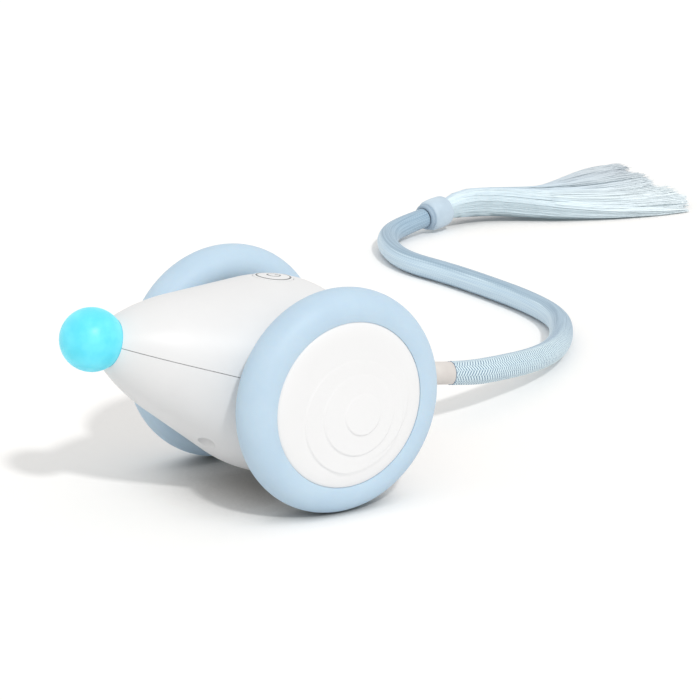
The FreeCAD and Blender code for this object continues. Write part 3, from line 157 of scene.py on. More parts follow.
def grid_faces(rows, columns, rows_close, columns_close):
    """Four-sided faces between rows of points. The last row or column may meet the first one."""
    faces = []
    for row in range(rows if rows_close else rows - 1):
        here, there = row * columns, (row + 1) % rows * columns
        for column in range(columns if columns_close else columns - 1):
            following = (column + 1) % columns
            faces.append((here + column, here + following, there + following, there + column))
    return faces


def map_grid(mesh, face_count, columns, place):
    """Map a mesh's first faces, so many in a row: place turns a point's row and column to u and v."""
    layer = mesh.uv_layers.new(name="round_and_along")
    for index in range(face_count):
        row, column = divmod(index, columns)
        for corner, loop in enumerate(mesh.polygons[index].loop_indices):
            layer.data[loop].uv = place(row + (corner in (2, 3)), column + (corner in (1, 2)))
    return layer


def turn_outwards(mesh, merge=None):
    """Point all faces outwards, after merging the points that are that close."""
    work = bmesh.new()
    work.from_mesh(mesh)
    if merge:
        bmesh.ops.remove_doubles(work, verts=work.verts, dist=merge)
    bmesh.ops.recalc_face_normals(work, faces=work.faces)
    work.to_mesh(mesh)
    work.free()


def smooth(mesh, angle):
    """Shade smoothly, except across edges sharper than that many degrees."""
    for polygon in mesh.polygons:
        polygon.use_smooth = True
    mesh.set_sharp_from_angle(angle=math.radians(angle))


def skin_direction(place):
    """How far a place is off the body's egg-shaped skin, and which way the skin faces there."""
    x, y, z = place
    radial = max(math.hypot(x, z), 1e-6)
    if FLANK_FRONT <= y < FLANK_REAR:
        out, along = math.cos(FLANK_SLOPE), -math.sin(FLANK_SLOPE)
        away = (radial - FLANK_RADIUS) * out + (y - FLANK_REAR) * along
    else:
        middle, depth, size = SNOUT_ARC if y < FLANK_FRONT else BELLY_ARC if y < DOME_FRONT else REAR_DOME
        distance = math.hypot(radial - depth, y - middle)
        away, out, along = distance - size, (radial - depth) / distance, (y - middle) / distance
    return away, Vector((out * x / radial, along, out * z / radial))


def true_direction(place, facing):
    """The exact direction of the shell's surface at a place on it, if it is a curved one."""
    away, skin = skin_direction(place)
    if min(abs(away), abs(away - BUTTON_RISE)) < SKIN_NEARNESS and skin.dot(facing) > LEAST_COSINE:
        return skin
    for centre, size in (((place.x, 0, 0), WELL_RADIUS), (NOSE_CENTRE, NOSE_CUP_RADIUS)):
        inwards = Vector(centre) - place
        away, inwards = abs(inwards.length - size), inwards.normalized()
        if away < HOLLOW_NEARNESS and inwards.dot(facing) > LEAST_COSINE:
            return inwards
    return None


def true_shading(mesh):
    """Shade the shell's curved faces by the forms that they are cut from."""
    normals = [corner.vector.copy() for corner in mesh.corner_normals]
    for polygon in mesh.polygons:
        facing = in_body(polygon.normal * MM) - in_body(Vector((0, 0, 0)))
        places = [in_body(mesh.vertices[corner].co) for corner in polygon.vertices]
        directions = [true_direction(place, facing) for place in places]
        if all(directions):
            for loop, direction in zip(polygon.loop_indices, directions):
                normals[loop] = out_of_body(direction)
    mesh.normals_split_custom_set(normals)


# Node helpers: sockets that take part in Python expressions


class Wire:
    """An output socket with arithmetic."""

    def __init__(self, graph, socket):
        self.graph = graph
        self.socket = socket

    def math(self, operation, *others):
        return self.graph.node("ShaderNodeMath", {"operation": operation},
                               {0: self, **dict(enumerate(others, start=1))})

    def __add__(self, other):
        return self.math("ADD", other)

    def __sub__(self, other):
        return self.math("SUBTRACT", other)

    def __rsub__(self, other):
        return self.graph.node("ShaderNodeMath", {"operation": "SUBTRACT"}, {0: other, 1: self})

    def __mul__(self, other):
        return self.math("MULTIPLY", other)

    def __truediv__(self, other):
        return self.math("DIVIDE", other)

    def __neg__(self):
        return self.math("MULTIPLY", -1.0)

    __radd__ = __add__
    __rmul__ = __mul__

    def within(self, low, high, start=0.0, end=1.0, soft=True):
        """The value carried from low..high to start..end, held at both ends."""
        kind = "SMOOTHSTEP" if soft else "LINEAR"
        return self.graph.node("ShaderNodeMapRange", {"interpolation_type": kind, "clamp": True},
                               {0: self, 1: low, 2: high, 3: start, 4: end})

    def band(self, middle, inner, outer):
        """1 within inner of the middle, falling to 0 at outer from it."""
        return 1 - (self - middle).math("ABSOLUTE").within(inner, outer)

    def crown(self):
        """A round profile over each whole step of the value: 1 halfway, 0 at both ends."""
        return 1 - ((self.math("FRACT") - 0.5) * 2).math("POWER", 2)


class Graph:
    """A node tree under construction."""

    def __init__(self, tree):
        self.tree = tree

    def place(self, kind, settings=None, sockets=None):
        """A new node: its settings are made first, then its sockets are set or linked."""
        node = self.tree.nodes.new(kind)
        for name, value in (settings or {}).items():
            setattr(node, name, value)
        for key, value in (sockets or {}).items():
            if isinstance(value, Wire):
                self.tree.links.new(value.socket, node.inputs[key])
            else:
                node.inputs[key].default_value = value
        return node

    def node(self, kind, settings=None, sockets=None, output=0):
        return Wire(self, self.place(kind, settings, sockets).outputs[output])

    def vector(self, x, y, z):
        return self.node("ShaderNodeCombineXYZ", {}, {0: x, 1: y, 2: z})

    def axes(self, where):
        split = self.place("ShaderNodeSeparateXYZ", {}, {0: where})
        return [Wire(self, output) for output in split.outputs]

    def blend_colours(self, factor, first, second):
        first = first if isinstance(first, Wire) else (*first, 1.0)
        second = second if isinstance(second, Wire) else (*second, 1.0)
        return self.node("ShaderNodeMix", {"data_type": "RGBA"}, {0: factor, 6: first, 7: second}, 2)


class Finish(Graph):
    """A material built from expressions over its object's own coordinates."""

    def __init__(self, name):
        self.material = bpy.data.materials.new(name)
        self.material.use_nodes = True
        super().__init__(self.material.node_tree)
        self.tree.nodes.clear()
        coordinates = self.place("ShaderNodeTexCoord").outputs
        self.position = Wire(self, coordinates["Object"])
        self.map = Wire(self, coordinates["UV"])
        self.shader = self.place("ShaderNodeBsdfPrincipled")
        self.output = self.place("ShaderNodeOutputMaterial")
        self.tree.links.new(self.shader.outputs[0], self.output.inputs[0])

    def noise(self, scale, detail=2.0, roughness=0.5, where=None):
        """Noise of that many features in a metre."""
        return self.node("ShaderNodeTexNoise", {}, {"Vector": where or self.position, "Scale": scale,
                                                    "Detail": detail, "Roughness": roughness})

    def surface(self, **values):
        """Set or link the shader's sockets, named with _ for each space."""
        for name, value in values.items():
            socket = self.shader.inputs[name.replace("_", " ")]
            if isinstance(value, Wire):
                self.tree.links.new(value.socket, socket)
            else:
                socket.default_value = (*value, 1.0) if isinstance(value, tuple) else value

    def scatter(self, weight, scale, reach):
        """Light that spreads under the surface, with its reach in red, green and blue."""
        self.surface(Subsurface_Weight=weight, Subsurface_Scale=scale)
        self.shader.inputs["Subsurface Radius"].default_value = reach

    def bump(self, height, distance):
        """Relief of that many millimetres."""
        self.surface(Normal=self.node("ShaderNodeBump", {}, {"Height": height, "Strength": 1.0,
                                                             "Distance": distance * MM}))


# Materials


def moulded(name, colour, shade=0.96, rough=0.38, grain=9000, relief=0.004):
    """Moulded plastic: a fine even grain, faint flow marks and softly varied gloss."""
    finish = Finish(name)
    flow = finish.noise(70, 3, 0.55)
    fine = finish.noise(grain, 2, 0.6)
    darker = tuple(channel * shade for channel in colour)
    finish.surface(
        Base_Color=finish.blend_colours(flow.within(0.3, 0.7), darker, colour),
        Roughness=flow * 0.08 + fine * 0.06 + (rough - 0.07),
    )
    finish.bump(fine, relief)
    return finish.material


def metal(name, colour, rough=0.3):
    """Metal with fine drawing marks and dulled patches."""
    finish = Finish(name)
    stretched = finish.node("ShaderNodeMapping", {}, {0: finish.position, 3: (40, 900, 900)})
    marks = finish.noise(6, 4, 0.7, stretched)
    patches = finish.noise(240, 2)
    dulled = tuple(channel * 0.82 for channel in colour)
    finish.surface(
        Base_Color=finish.blend_colours(patches.within(0.35, 0.7), dulled, colour),
        Metallic=1.0,
        Roughness=marks * 0.22 + (rough - 0.1),
    )
    finish.bump(marks, 0.003)
    return finish.material


def circuit_board(name):
    """Solder mask with copper tracks under it."""
    finish = Finish(name)
    x, y, _ = finish.axes(finish.position)
    wander = finish.noise(260, 1)
    gaps = (1 - (x * 900).math("FRACT").band(0.5, 0.12, 0.16)) * wander.within(0.45, 0.5)
    pads = (y * 620).math("FRACT").band(0.5, 0.08, 0.12)
    copper = (1 - gaps) * wander.within(0.5, 0.54) + pads * wander.within(0.6, 0.62) * 0.6
    finish.surface(
        Base_Color=finish.blend_colours(copper.within(0, 1), (0.02, 0.14, 0.07), (0.06, 0.26, 0.13)),
        Roughness=0.32,
    )
    finish.bump(copper, 0.02)
    return finish.material


def tyre_rubber(name):
    """Soft silicone: satin, faintly dusty, with a powdery variation of blue."""
    finish = Finish(name)
    dust = finish.noise(55, 4, 0.6)
    grain = finish.noise(5200, 2, 0.6)
    finish.surface(
        Base_Color=finish.blend_colours(dust.within(0.25, 0.75), (0.505, 0.66, 0.795), (0.555, 0.71, 0.835)),
        Roughness=dust * 0.14 + grain * 0.06 + 0.42,
    )
    finish.scatter(0.12, 0.002, (0.4, 0.7, 1.0))
    finish.bump(grain, 0.012)
    return finish.material


def glowing_nose(name):
    """Milky cyan plastic lit by the lamp inside."""
    finish = Finish(name)
    cloud = finish.noise(160, 3, 0.5)
    patches = cloud.within(0.3, 0.7)
    finish.surface(
        Base_Color=finish.blend_colours(patches, (0.10, 0.63, 0.76), (0.15, 0.71, 0.84)),
        Roughness=0.34 + cloud * 0.08,
        Emission_Color=finish.blend_colours(patches, (0.07, 0.62, 0.76), (0.13, 0.72, 0.86)),
        Emission_Strength=0.28,
    )
    finish.scatter(0.3, 0.003, (0.3, 0.8, 1.0))
    finish.bump(finish.noise(5000), 0.004)
    return finish.material


def button_cap(name):
    """White button with a printed ring and a plain power mark: an open arc with a bar in its gap."""
    finish = Finish(name)
    centre = tuple(body_place(*BUTTON_CENTRE))
    shifted = finish.node("ShaderNodeVectorMath", {"operation": "SUBTRACT"}, {0: finish.position, 1: centre})
    x, y, z = finish.axes(shifted)
    along = (y * math.cos(TILT) - z * math.sin(TILT)) / MM
    across = x / MM
    radius = (across * across + along * along).math("SQRT")
    ring = radius.band(4.65, 0.2, 0.3)
    gap = across.band(0.0, 0.55, 0.7) * along.within(0.0, 0.1)
    arc = radius.band(1.75, 0.2, 0.27) * (1 - gap)
    bar = across.band(0.0, 0.2, 0.27) * along.within(0.2, 0.3) * (1 - along.within(2.2, 2.3))
    ink = ring.math("MAXIMUM", arc).math("MAXIMUM", bar)
    grain = finish.noise(9000)
    finish.surface(
        Base_Color=finish.blend_colours(ink, (0.86, 0.86, 0.86), (0.09, 0.10, 0.11)),
        Roughness=0.34 + grain * 0.08,
    )
    finish.bump(grain - ink * 0.6, 0.01)
    return finish.material


def braid(name):
    """A two-over-two braided sleeve, on the tail's own map (a turn round it, a girth along it):
    crisp where it leaves the ferrule, drawn out smooth further on. Its colour holds painted shade
    in the gaps between strands and on the crisp part's top row, and on the drawn-out part a shaded
    grey side with a paler lit band and a painted highlight line on one side."""
    finish = Finish(name)
    around, along, _ = finish.axes(finish.map)
    right = around * BRAID_PAIRS + along * BRAID_RATE
    left = around * BRAID_PAIRS - along * BRAID_RATE
    turn = ((right.math("FLOOR") + left.math("FLOOR")) * 0.25 + 0.001).math("FRACT")
    right_over = turn.math("GREATER_THAN", 0.49)
    right_height = right.crown() * (right_over * (1 - BRAID_UNDER) + BRAID_UNDER)
    left_height = left.crown() * (1 - right_over * (1 - BRAID_UNDER))
    height = right_height.math("MAXIMUM", left_height)
    thread = ((right * right_over + left * (1 - right_over)) * 5).crown()
    patch = finish.noise(420, 3, 0.6)
    angle = around * 2 * math.pi
    drawn = finish.vector(angle.math("SINE") * 5, angle.math("COSINE") * 5, along * 0.5)
    streak = finish.noise(1.6, 4, 0.6, drawn)
    crisp = 1 - along.within(2.6, 4.6)

    # Painted shade: the braid's colour is darker where its strands dip, in the gaps between them and on a
    # strand that runs under, mixed with its own patchy tone.
    crests_lit_gaps_shaded = (height + patch * 0.2 + thread * 0.08).within(0.38, 1.0)
    # Painted shade: the crisp braid's top row is coloured darker.
    painted_shade_top_row = around.band(0.69, 0.04, 0.1)
    crest_colour_shaded_top = finish.blend_colours(painted_shade_top_row * 0.55, (0.78, 0.94, 0.99), (0.30, 0.44, 0.60))
    woven = finish.blend_colours(crests_lit_gaps_shaded, (0.02, 0.13, 0.29), crest_colour_shaded_top)
    wisps = streak.within(0.36, 0.62)
    # Painted light and shade on the drawn-out braid: grey is its shaded side, blue the paler lit band on one
    # side.
    grey = finish.blend_colours(crests_lit_gaps_shaded * 0.3 + wisps * 0.7, (0.24, 0.37, 0.49), (0.43, 0.58, 0.70))
    blue = finish.blend_colours(crests_lit_gaps_shaded * 0.4 + wisps * 0.6, (0.52, 0.70, 0.86), (0.71, 0.88, 0.98))
    painted_light_band = around.band(0.49, 0.07, 0.17)
    # Painted highlight: a thin pale line beside the lit band, broken by the streaks.
    painted_highlight_line = around.band(0.615, 0.004, 0.02) * streak.within(0.4, 0.6)
    drawn_out_lit_and_shaded = finish.blend_colours(painted_light_band.math("MAXIMUM", painted_highlight_line), grey, blue)
    finish.surface(
        Base_Color=finish.blend_colours(crisp, drawn_out_lit_and_shaded, woven),
        Roughness=0.6 - height * 0.1,
        Sheen_Weight=0.2,
        Sheen_Roughness=0.4,
    )
    finish.bump((thread * 0.35 + streak * 0.4) * (crisp * 0.6 + 0.4), 0.06)
    return finish.material


def yarn(name):
    """Silky loose yarn, with painted light and shade: grey-blue in the locks behind as shade,
    nearly white in front as light, and paler at the tips.

    The faint emission is a painted glow that stands for the light that passes through the thin yarns.
    """
    finish = Finish(name)
    tone = finish.node("ShaderNodeAttribute", {"attribute_name": "lock_tone_and_painted_light"}, {}, 2)
    shade = finish.noise(900, 2, 0.6)
    _, y, _ = finish.axes(finish.position)
    tips = (y / MM).within(262, 340)
    # Painted light and shade: the tone read here is mostly lighter towards the tassel's near (+X) side,
    # partly each lock's own tone.
    light = tone * 0.85 + shade.within(0.3, 0.7) * 0.15
    length = finish.blend_colours(light, (0.58, 0.74, 0.87), (0.84, 0.96, 1.0))
    finish.surface(
        Base_Color=finish.blend_colours(tips * 0.7, length, (0.92, 0.98, 1.0)),
        Roughness=0.45 + shade * 0.1,
        # Painted glow: the yarns emit a faint light, paler in front like their colour.
        Emission_Color=finish.blend_colours(light, (0.15, 0.36, 0.60), (0.72, 0.95, 1.0)),
        Emission_Strength=0.13,
        Sheen_Weight=0.35,
        Sheen_Roughness=0.5,
    )
    return finish.material


def wound_bead(name):
    """Pale blue wound thread, pressed smooth, with a darker collar at the cord."""
    finish = Finish(name)
    _, along, _ = finish.axes(finish.map)
    ridge = (along * 34 + finish.noise(90, 2) * 1.5).crown()
    cloud = finish.noise(130, 3)
    collar = 1 - along.within(0.13, 0.2)
    barrel = finish.blend_colours(cloud.within(0.3, 0.7), (0.52, 0.64, 0.74), (0.60, 0.73, 0.83))
    finish.surface(
        Base_Color=finish.blend_colours(collar * 0.75, barrel, (0.30, 0.41, 0.52)),
        Roughness=0.5 + cloud * 0.1,
        Sheen_Weight=0.15,
    )
    finish.bump(ridge * 0.15, 0.08)
    return finish.material


def ferrule_rubber(name):
    """Off-white soft sleeve with faint turning marks, 0.9 mm apart."""
    finish = Finish(name)
    _, y, _ = finish.axes(finish.position)
    rings = (y * 2 * math.pi / (0.9 * MM)).math("SINE")
    haze = finish.noise(120, 3)
    finish.surface(
        Base_Color=finish.blend_colours(haze.within(0.3, 0.7), (0.71, 0.665, 0.63), (0.79, 0.75, 0.71)),
        Roughness=0.48 + haze * 0.1,
    )
    finish.bump(rings * 0.3 + finish.noise(4000), 0.01)
    return finish.material


FINISHES = {
    "shell_white": moulded("satin_white_shell", (0.84, 0.84, 0.84), 0.98, 0.42),
    "cap_white": moulded("satin_white_cap", (0.89, 0.89, 0.89), 0.99, 0.42),
    "rim_white": moulded("white_rim_plastic", (0.78, 0.79, 0.80), 0.96, 0.4),
    "nose_cyan": glowing_nose("lit_cyan_nose"),
    "led_clear": moulded("clear_lamp_lens", (0.75, 0.9, 0.95), 0.95, 0.15),
    "circuit_green": circuit_board("green_circuit_board"),
    "chip_black": moulded("black_chip_package", (0.03, 0.03, 0.035), 0.8, 0.5),
    "screw_steel": metal("plated_screw_steel", (0.60, 0.61, 0.63)),
    "battery_silver": moulded("silver_battery_pouch", (0.50, 0.53, 0.57), 0.85, 0.3, 3000, 0.03),
    "port_steel": metal("stamped_port_steel", (0.65, 0.66, 0.68)),
    "button_grey": button_cap("printed_white_button"),
    "switch_black": moulded("black_switch_plastic", (0.04, 0.04, 0.045), 0.8, 0.5),
    "frame_grey": moulded("grey_frame_plastic", (0.48, 0.50, 0.53), 0.92, 0.48),
    "gear_white": moulded("natural_gear_acetal", (0.72, 0.70, 0.64), 0.94, 0.35),
    "pinion_brass": metal("machined_pinion_brass", (0.78, 0.58, 0.28)),
    "motor_steel": metal("drawn_motor_steel", (0.62, 0.63, 0.65), 0.34),
    "axle_steel": metal("ground_axle_steel", (0.66, 0.67, 0.69), 0.25),
    "bush_bronze": metal("sintered_bush_bronze", (0.50, 0.36, 0.2), 0.5),
    "tyre_blue": tyre_rubber("pale_blue_tyre"),
    "ferrule_beige": ferrule_rubber("off_white_ferrule"),
    "braid_blue": braid("pale_blue_braid"),
    "bead_blue": wound_bead("pale_blue_bead"),
    "tassel_blue": yarn("pale_blue_yarn"),
    "lead_red": moulded("red_wire_sleeve", (0.45, 0.03, 0.02), 0.85, 0.4),
}
NODE_SLOT = {part["node"]: part["material_slot"] for part in frame["record"]["subparts"]}
BODY_OF = {node: body for body, nodes in frame["record"]["behaviour"]["bodies"].items() for node in nodes}


def stand_for(piece, node):
    """Let a piece take a node's place, with its finish, on its body."""
    piece.data.materials.clear()
    piece.data.materials.append(FINISHES[NODE_SLOT[node]])
    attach(piece, BODY_OF[node])
    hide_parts(node)


for node, slot in NODE_SLOT.items():
    carried = frame["nodes"][node]
    if not carried.material_slots:
        carried.data.materials.append(FINISHES[slot])
    for material_slot in carried.material_slots:
        material_slot.material = FINISHES[slot]


# Shells, nose and the other visible rigid pieces: their own solids with smooth faces


def softened(node, curved_skin):
    """The node's solid with shared corners and smooth shading, exact where its skin is curved."""
    mesh = frame["nodes"][node].data.copy()
    work = bmesh.new()
    work.from_mesh(mesh)
    bmesh.ops.remove_doubles(work, verts=work.verts, dist=0.004 * MM)
    bmesh.ops.dissolve_degenerate(work, edges=work.edges, dist=0.002 * MM)
    work.to_mesh(mesh)
    work.free()
    smooth(mesh, 30)
    if curved_skin:
        true_shading(mesh)
    return make_object(node + "_finish", mesh)


for node in ("upper_shell", "lower_shell", "rear_cap", "power_button"):
    stand_for(softened(node, True), node)
for node in ("nose_ball", "tail_socket", "tail_ferrule", "right_wheel_rim", "left_wheel_rim"):
    stand_for(softened(node, False), node)


# Wheels: outlines are in millimetres, as distance from the middle of the toy and radius

TREAD_CENTRE = (29.7, 24.8)
TREAD_RADIUS = 6.2      # of the round section
TREAD_OUTER_EDGE = 22.83    # the round section ends at these distances from the axle
TREAD_INNER_EDGE = 22.65
TREAD_POINTS = 48
TYRE_SIDES = 160
TYRE_SEAT = [(25.86, 22.62), (25.82, 22.55), (25.8, 20.1), (25.9, 20.02), (33.1, 20.02), (33.2, 20.1),
             (33.2, 21.5), (33.3, 21.6), (34.15, 21.6), (34.22, 21.7), (34.2, 22.78), (34.3, 22.82)]
CAP_FLAT = 36.2         # the cap's face without its steps
CAP_RADIUS = 22.8
CAP_FACE_RADIUS = 18.3  # the rounded edge starts here
CAP_EDGE_DROP = 1.05
CAP_EDGE_POINTS = 12
CAP_RING_GAP = 0.19
CAP_SIDES = 360
CAP_BACK = [(34.9, 22.8), (34.25, 22.8), (34.2, 22.7), (34.2, 18.35), (31.3, 18.35), (31.2, 18.25),
            (31.2, 17.4), (31.3, 17.35), (35.0, 17.35), (35.0, 0.001)]

# The cap's shallow steps. Each has its radius, its centre beside the axle (y and z), the angle of
# its high side and its shape: the rise opposite the high side, what the high side adds, how narrow
# that is, and the rise in the middle, as shares of STEP_RISE.
RIPPLE = (0.08, 0.92, 1.6, 0.54)
EDGE_ARC = (0.0, 0.5, 6.0, 0.0)
CAP_STEPS = ((15.6, 1.0, -3.3, -0.50, RIPPLE), (11.1, 2.2, -2.9, -0.33, RIPPLE),
             (5.6, 3.4, -2.9, -0.26, RIPPLE), (16.1, 2.1, -0.2, 1.15, EDGE_ARC))
STEP_RISE = 0.46
STEP_WIDTH = 0.5


def tyre_outline():
    """The tyre's section: a round tread, the seat on the rim and a thin lip beside the cap."""
    middle, height = TREAD_CENTRE
    start = math.degrees(math.asin((TREAD_OUTER_EDGE - height) / TREAD_RADIUS))
    end = 180 - math.degrees(math.asin((TREAD_INNER_EDGE - height) / TREAD_RADIUS))
    outline = []
    for step in range(TREAD_POINTS + 1):
        angle = math.radians(start + (end - start) * step / TREAD_POINTS)
        outline.append((middle + TREAD_RADIUS * math.cos(angle), height + TREAD_RADIUS * math.sin(angle)))
    return outline + TYRE_SEAT


def cap_outline():
    """The cap's section, from the middle of its face round its edge to its back, and how many of
    its points are on the face."""
    radii = [0.001]
    while radii[-1] < CAP_FACE_RADIUS:
        radii.append(radii[-1] + CAP_RING_GAP)
    outline = [(CAP_FLAT, radius) for radius in radii]
    for step in range(1, CAP_EDGE_POINTS + 1):
        angle = math.radians(90 * step / CAP_EDGE_POINTS)
        outline.append((CAP_FLAT - CAP_EDGE_DROP * (1 - math.cos(angle)),
                        radii[-1] + (CAP_RADIUS - radii[-1]) * math.sin(angle)))
    return outline + CAP_BACK, len(radii)


def cap_height(y, z):
    """Rise of the cap's face over its flat, at a place beside the axle, in millimetres."""
    rise = 0.0
    for radius, centre_y, centre_z, high_side, (low, added, narrowness, middle) in CAP_STEPS:
        away_y, away_z = y - centre_y, z - centre_z
        distance = math.hypot(away_y, away_z)
        inside = min(1.0, distance / radius)
        lift = 0.5 + 0.5 * math.cos(math.atan2(away_y, -away_z) - high_side)
        tilt = low + added * lift ** narrowness
        edge = eased((radius - distance) / STEP_WIDTH + 0.5)
        rise += STEP_RISE * edge * (tilt * inside + (1 - inside) * middle)
    return rise


def turned(name, outline, sides, side, face_points=0):
    """Turn an outline round the axle line. The left wheel is the right one turned round.

    So many of the outline's first points are on the cap's face and rise with its steps. An outline
    that has none of them is closed.
    """
    sign = 1 if side == "right" else -1
    points = []
    for step in range(sides):
        angle = 2 * math.pi * step / sides
        for index, (along, radius) in enumerate(outline):
            y, z = radius * math.cos(angle), radius * math.sin(angle)
            if index < face_points:
                along += cap_height(y, z)
            points.append((sign * along * MM, (AXLE_Y + sign * y) * MM, (AXLE_Z + z) * MM))
    return mesh_from(name, points, grid_faces(sides, len(outline), True, face_points == 0))


cap_section, face_points = cap_outline()
for side in ("right", "left"):
    tread = turned(side + "_tyre_skin", tyre_outline(), TYRE_SIDES, side)
    turn_outwards(tread)
    smooth(tread, 35)
    stand_for(make_object(side + "_tyre_skin", tread), side + "_tyre")

    face = turned(side + "_cap_face", cap_section, CAP_SIDES, side, face_points)
    turn_outwards(face, 0.01 * MM)
    smooth(face, 50)
    stand_for(make_object(side + "_cap_face", face), side + "_wheel_cap")


# Tail: the braided cord


def smooth_route():
    """The tail's smooth middle line, as a list of points."""
    line = bpy.data.curves.new("tail_line", "CURVE")
    line.dimensions = "3D"
    spline = line.splines.new("NURBS")
    spline.points.add(len(TAIL_ROUTE) - 1)
    for point, place in zip(spline.points, TAIL_ROUTE):
        point.co = (*place, 1.0)
    spline.order_u = 3
    spline.use_endpoint_u = True
    spline.resolution_u = 40
    guide = make_object("tail_line", line)
    bpy.context.view_layer.update()
    mesh = bpy.data.meshes.new_from_object(guide.evaluated_get(bpy.context.evaluated_depsgraph_get()))
    points = [vertex.co.copy() for vertex in mesh.vertices]
    bpy.data.objects.remove(guide)
    bpy.data.meshes.remove(mesh)
    return points


def spaced(points, gap):
    """The same line as evenly spaced points, and its length."""
    lengths = [0.0]
    for before, after in zip(points, points[1:]):
        lengths.append(lengths[-1] + (after - before).length)
    total = lengths[-1]
    count = round(total / gap)
    result = []
    index = 0
    for step in range(count + 1):
        target = total * step / count
        while index < len(lengths) - 2 and lengths[index + 1] < target:
            index += 1
        part = (target - lengths[index]) / max(lengths[index + 1] - lengths[index], 1e-9)
        result.append(points[index].lerp(points[index + 1], min(1.0, part)))
    return result, total


def tube(name, points, radius, lean, sides):
    """A closed tube along evenly spaced points, mapped round it (a turn) and along it (girths)."""
    heading = (points[1] - points[0]).normalized()
    across = heading.cross(Vector((0, 0, 1))).normalized()
    corners = []
    for index, point in enumerate(points):
        before = points[max(index - 1, 0)]
        after = points[min(index + 1, len(points) - 1)]
        heading = (after - before).normalized()
        across = (across - heading * across.dot(heading)).normalized()
        upright = heading.cross(across)
        for side in range(sides):
            angle = 2 * math.pi * side / sides
            aside = across * math.cos(angle) + upright * math.sin(angle)
            corners.append(point + aside * radius(index, side / sides) + heading * lean(index, aside))
    faces = grid_faces(len(points), sides, False, True)
    last = (len(points) - 1) * sides
    ends = [tuple(reversed(range(sides))), tuple(range(last, last + sides))]
    mesh = mesh_from(name, corners, faces + ends)
    gap = (points[1] - points[0]).length
    layer = map_grid(mesh, len(faces), sides,
                     lambda ring, side: (side / sides, ring * gap / (TAIL_GIRTH * MM)))
    for index in range(len(faces), len(mesh.polygons)):
        for loop in mesh.polygons[index].loop_indices:
            layer.data[loop].uv = (0.5, 0.0)
    smooth(mesh, 50)
    return mesh


def strand_height(around, along):
    """Height of the braid, 0 to 1: each strand runs over two others, then under two."""
    right = around * BRAID_PAIRS + along * BRAID_RATE
    left = around * BRAID_PAIRS - along * BRAID_RATE
    right_over = ((math.floor(right) + math.floor(left)) * 0.25 + 0.001) % 1 > 0.49
    right_height = (1 - (2 * (right % 1) - 1) ** 2) * (1.0 if right_over else BRAID_UNDER)
    left_height = (1 - (2 * (left % 1) - 1) ** 2) * (BRAID_UNDER if right_over else 1.0)
    return max(right_height, left_height)


def ferrule_grip(index):
    """1 where the sleeve starts on the ferrule, 0 where it no longer grips it."""
    return eased(1 - index * SLEEVE_STEP / FERRULE_GRIP_LENGTH)


def sleeve_radius(index, around):
    """The sleeve is tight on the ferrule, full along its way and drawn in at the bead, and its
    braid is plainer further on."""
    along = index * SLEEVE_STEP
    bead_grip = max(0.0, 1 - (tail_length / MM - along) / BEAD_GRIP_LENGTH)
    relief = BRAID_RELIEF * (1 - RELIEF_LOST * min(1.0, max(0.0, (along - FADE_START) / FADE_LENGTH)))
    valley = 1 - strand_height(around, along / TAIL_GIRTH)
    drawn_in = FERRULE_GRIP * ferrule_grip(index) + BEAD_GRIP * bead_grip
    return (TAIL_RADIUS - drawn_in - relief * valley) * MM


def sleeve_lean(index, aside):
    """The sleeve's end is cut aslant: it reaches further over the ferrule on its +X side."""
    return -SLEEVE_SLANT * MM * ferrule_grip(index) * max(0.0, aside.dot(LONGER_SIDE))


tail_line, tail_length = spaced(smooth_route(), SLEEVE_STEP * MM)
cord = make_object("tail_braid", tube("tail_braid", tail_line, sleeve_radius, sleeve_lean, SLEEVE_SIDES))
stand_for(cord, "tail_cord")


# Tail: the tassel

TASSEL_YARNS = 2350     # in each of its two pieces
YARN_RADIUS = 0.21
YARN_POINTS = 14
LOCKS = 11
TASSEL_START = 235.4    # y at the bead's mouth
TASSEL_MIDDLE = -228.0  # x there
MOUTH_HEIGHT = 8.1
MOUTH_RADIUS = 3.4
TASSEL_LENGTH = 112.0
TIP_SPREAD = 24.5
LOWEST_YARN = 0.5


class YarnTree(Graph):
    """Geometry made of named values, numbered random draws and stored attributes."""

    def random(self, low, high, seed, number):
        """A value from low to high for each number, such as a yarn's or a lock's."""
        sockets = {2: low, 3: high, "ID": number, "Seed": seed}
        return self.node("FunctionNodeRandomValue", {"data_type": "FLOAT"}, sockets, 1)

    def stored(self, geometry, kind, name, value):
        """The geometry with a value kept under a name at each point."""
        store = self.place("GeometryNodeStoreNamedAttribute", {"data_type": kind, "domain": "POINT"},
                           {"Geometry": geometry, "Name": name})
        slot = next(socket for socket in store.inputs if socket.name == "Value" and socket.enabled)
        self.tree.links.new(value.socket, slot)
        return Wire(self, store.outputs[0])


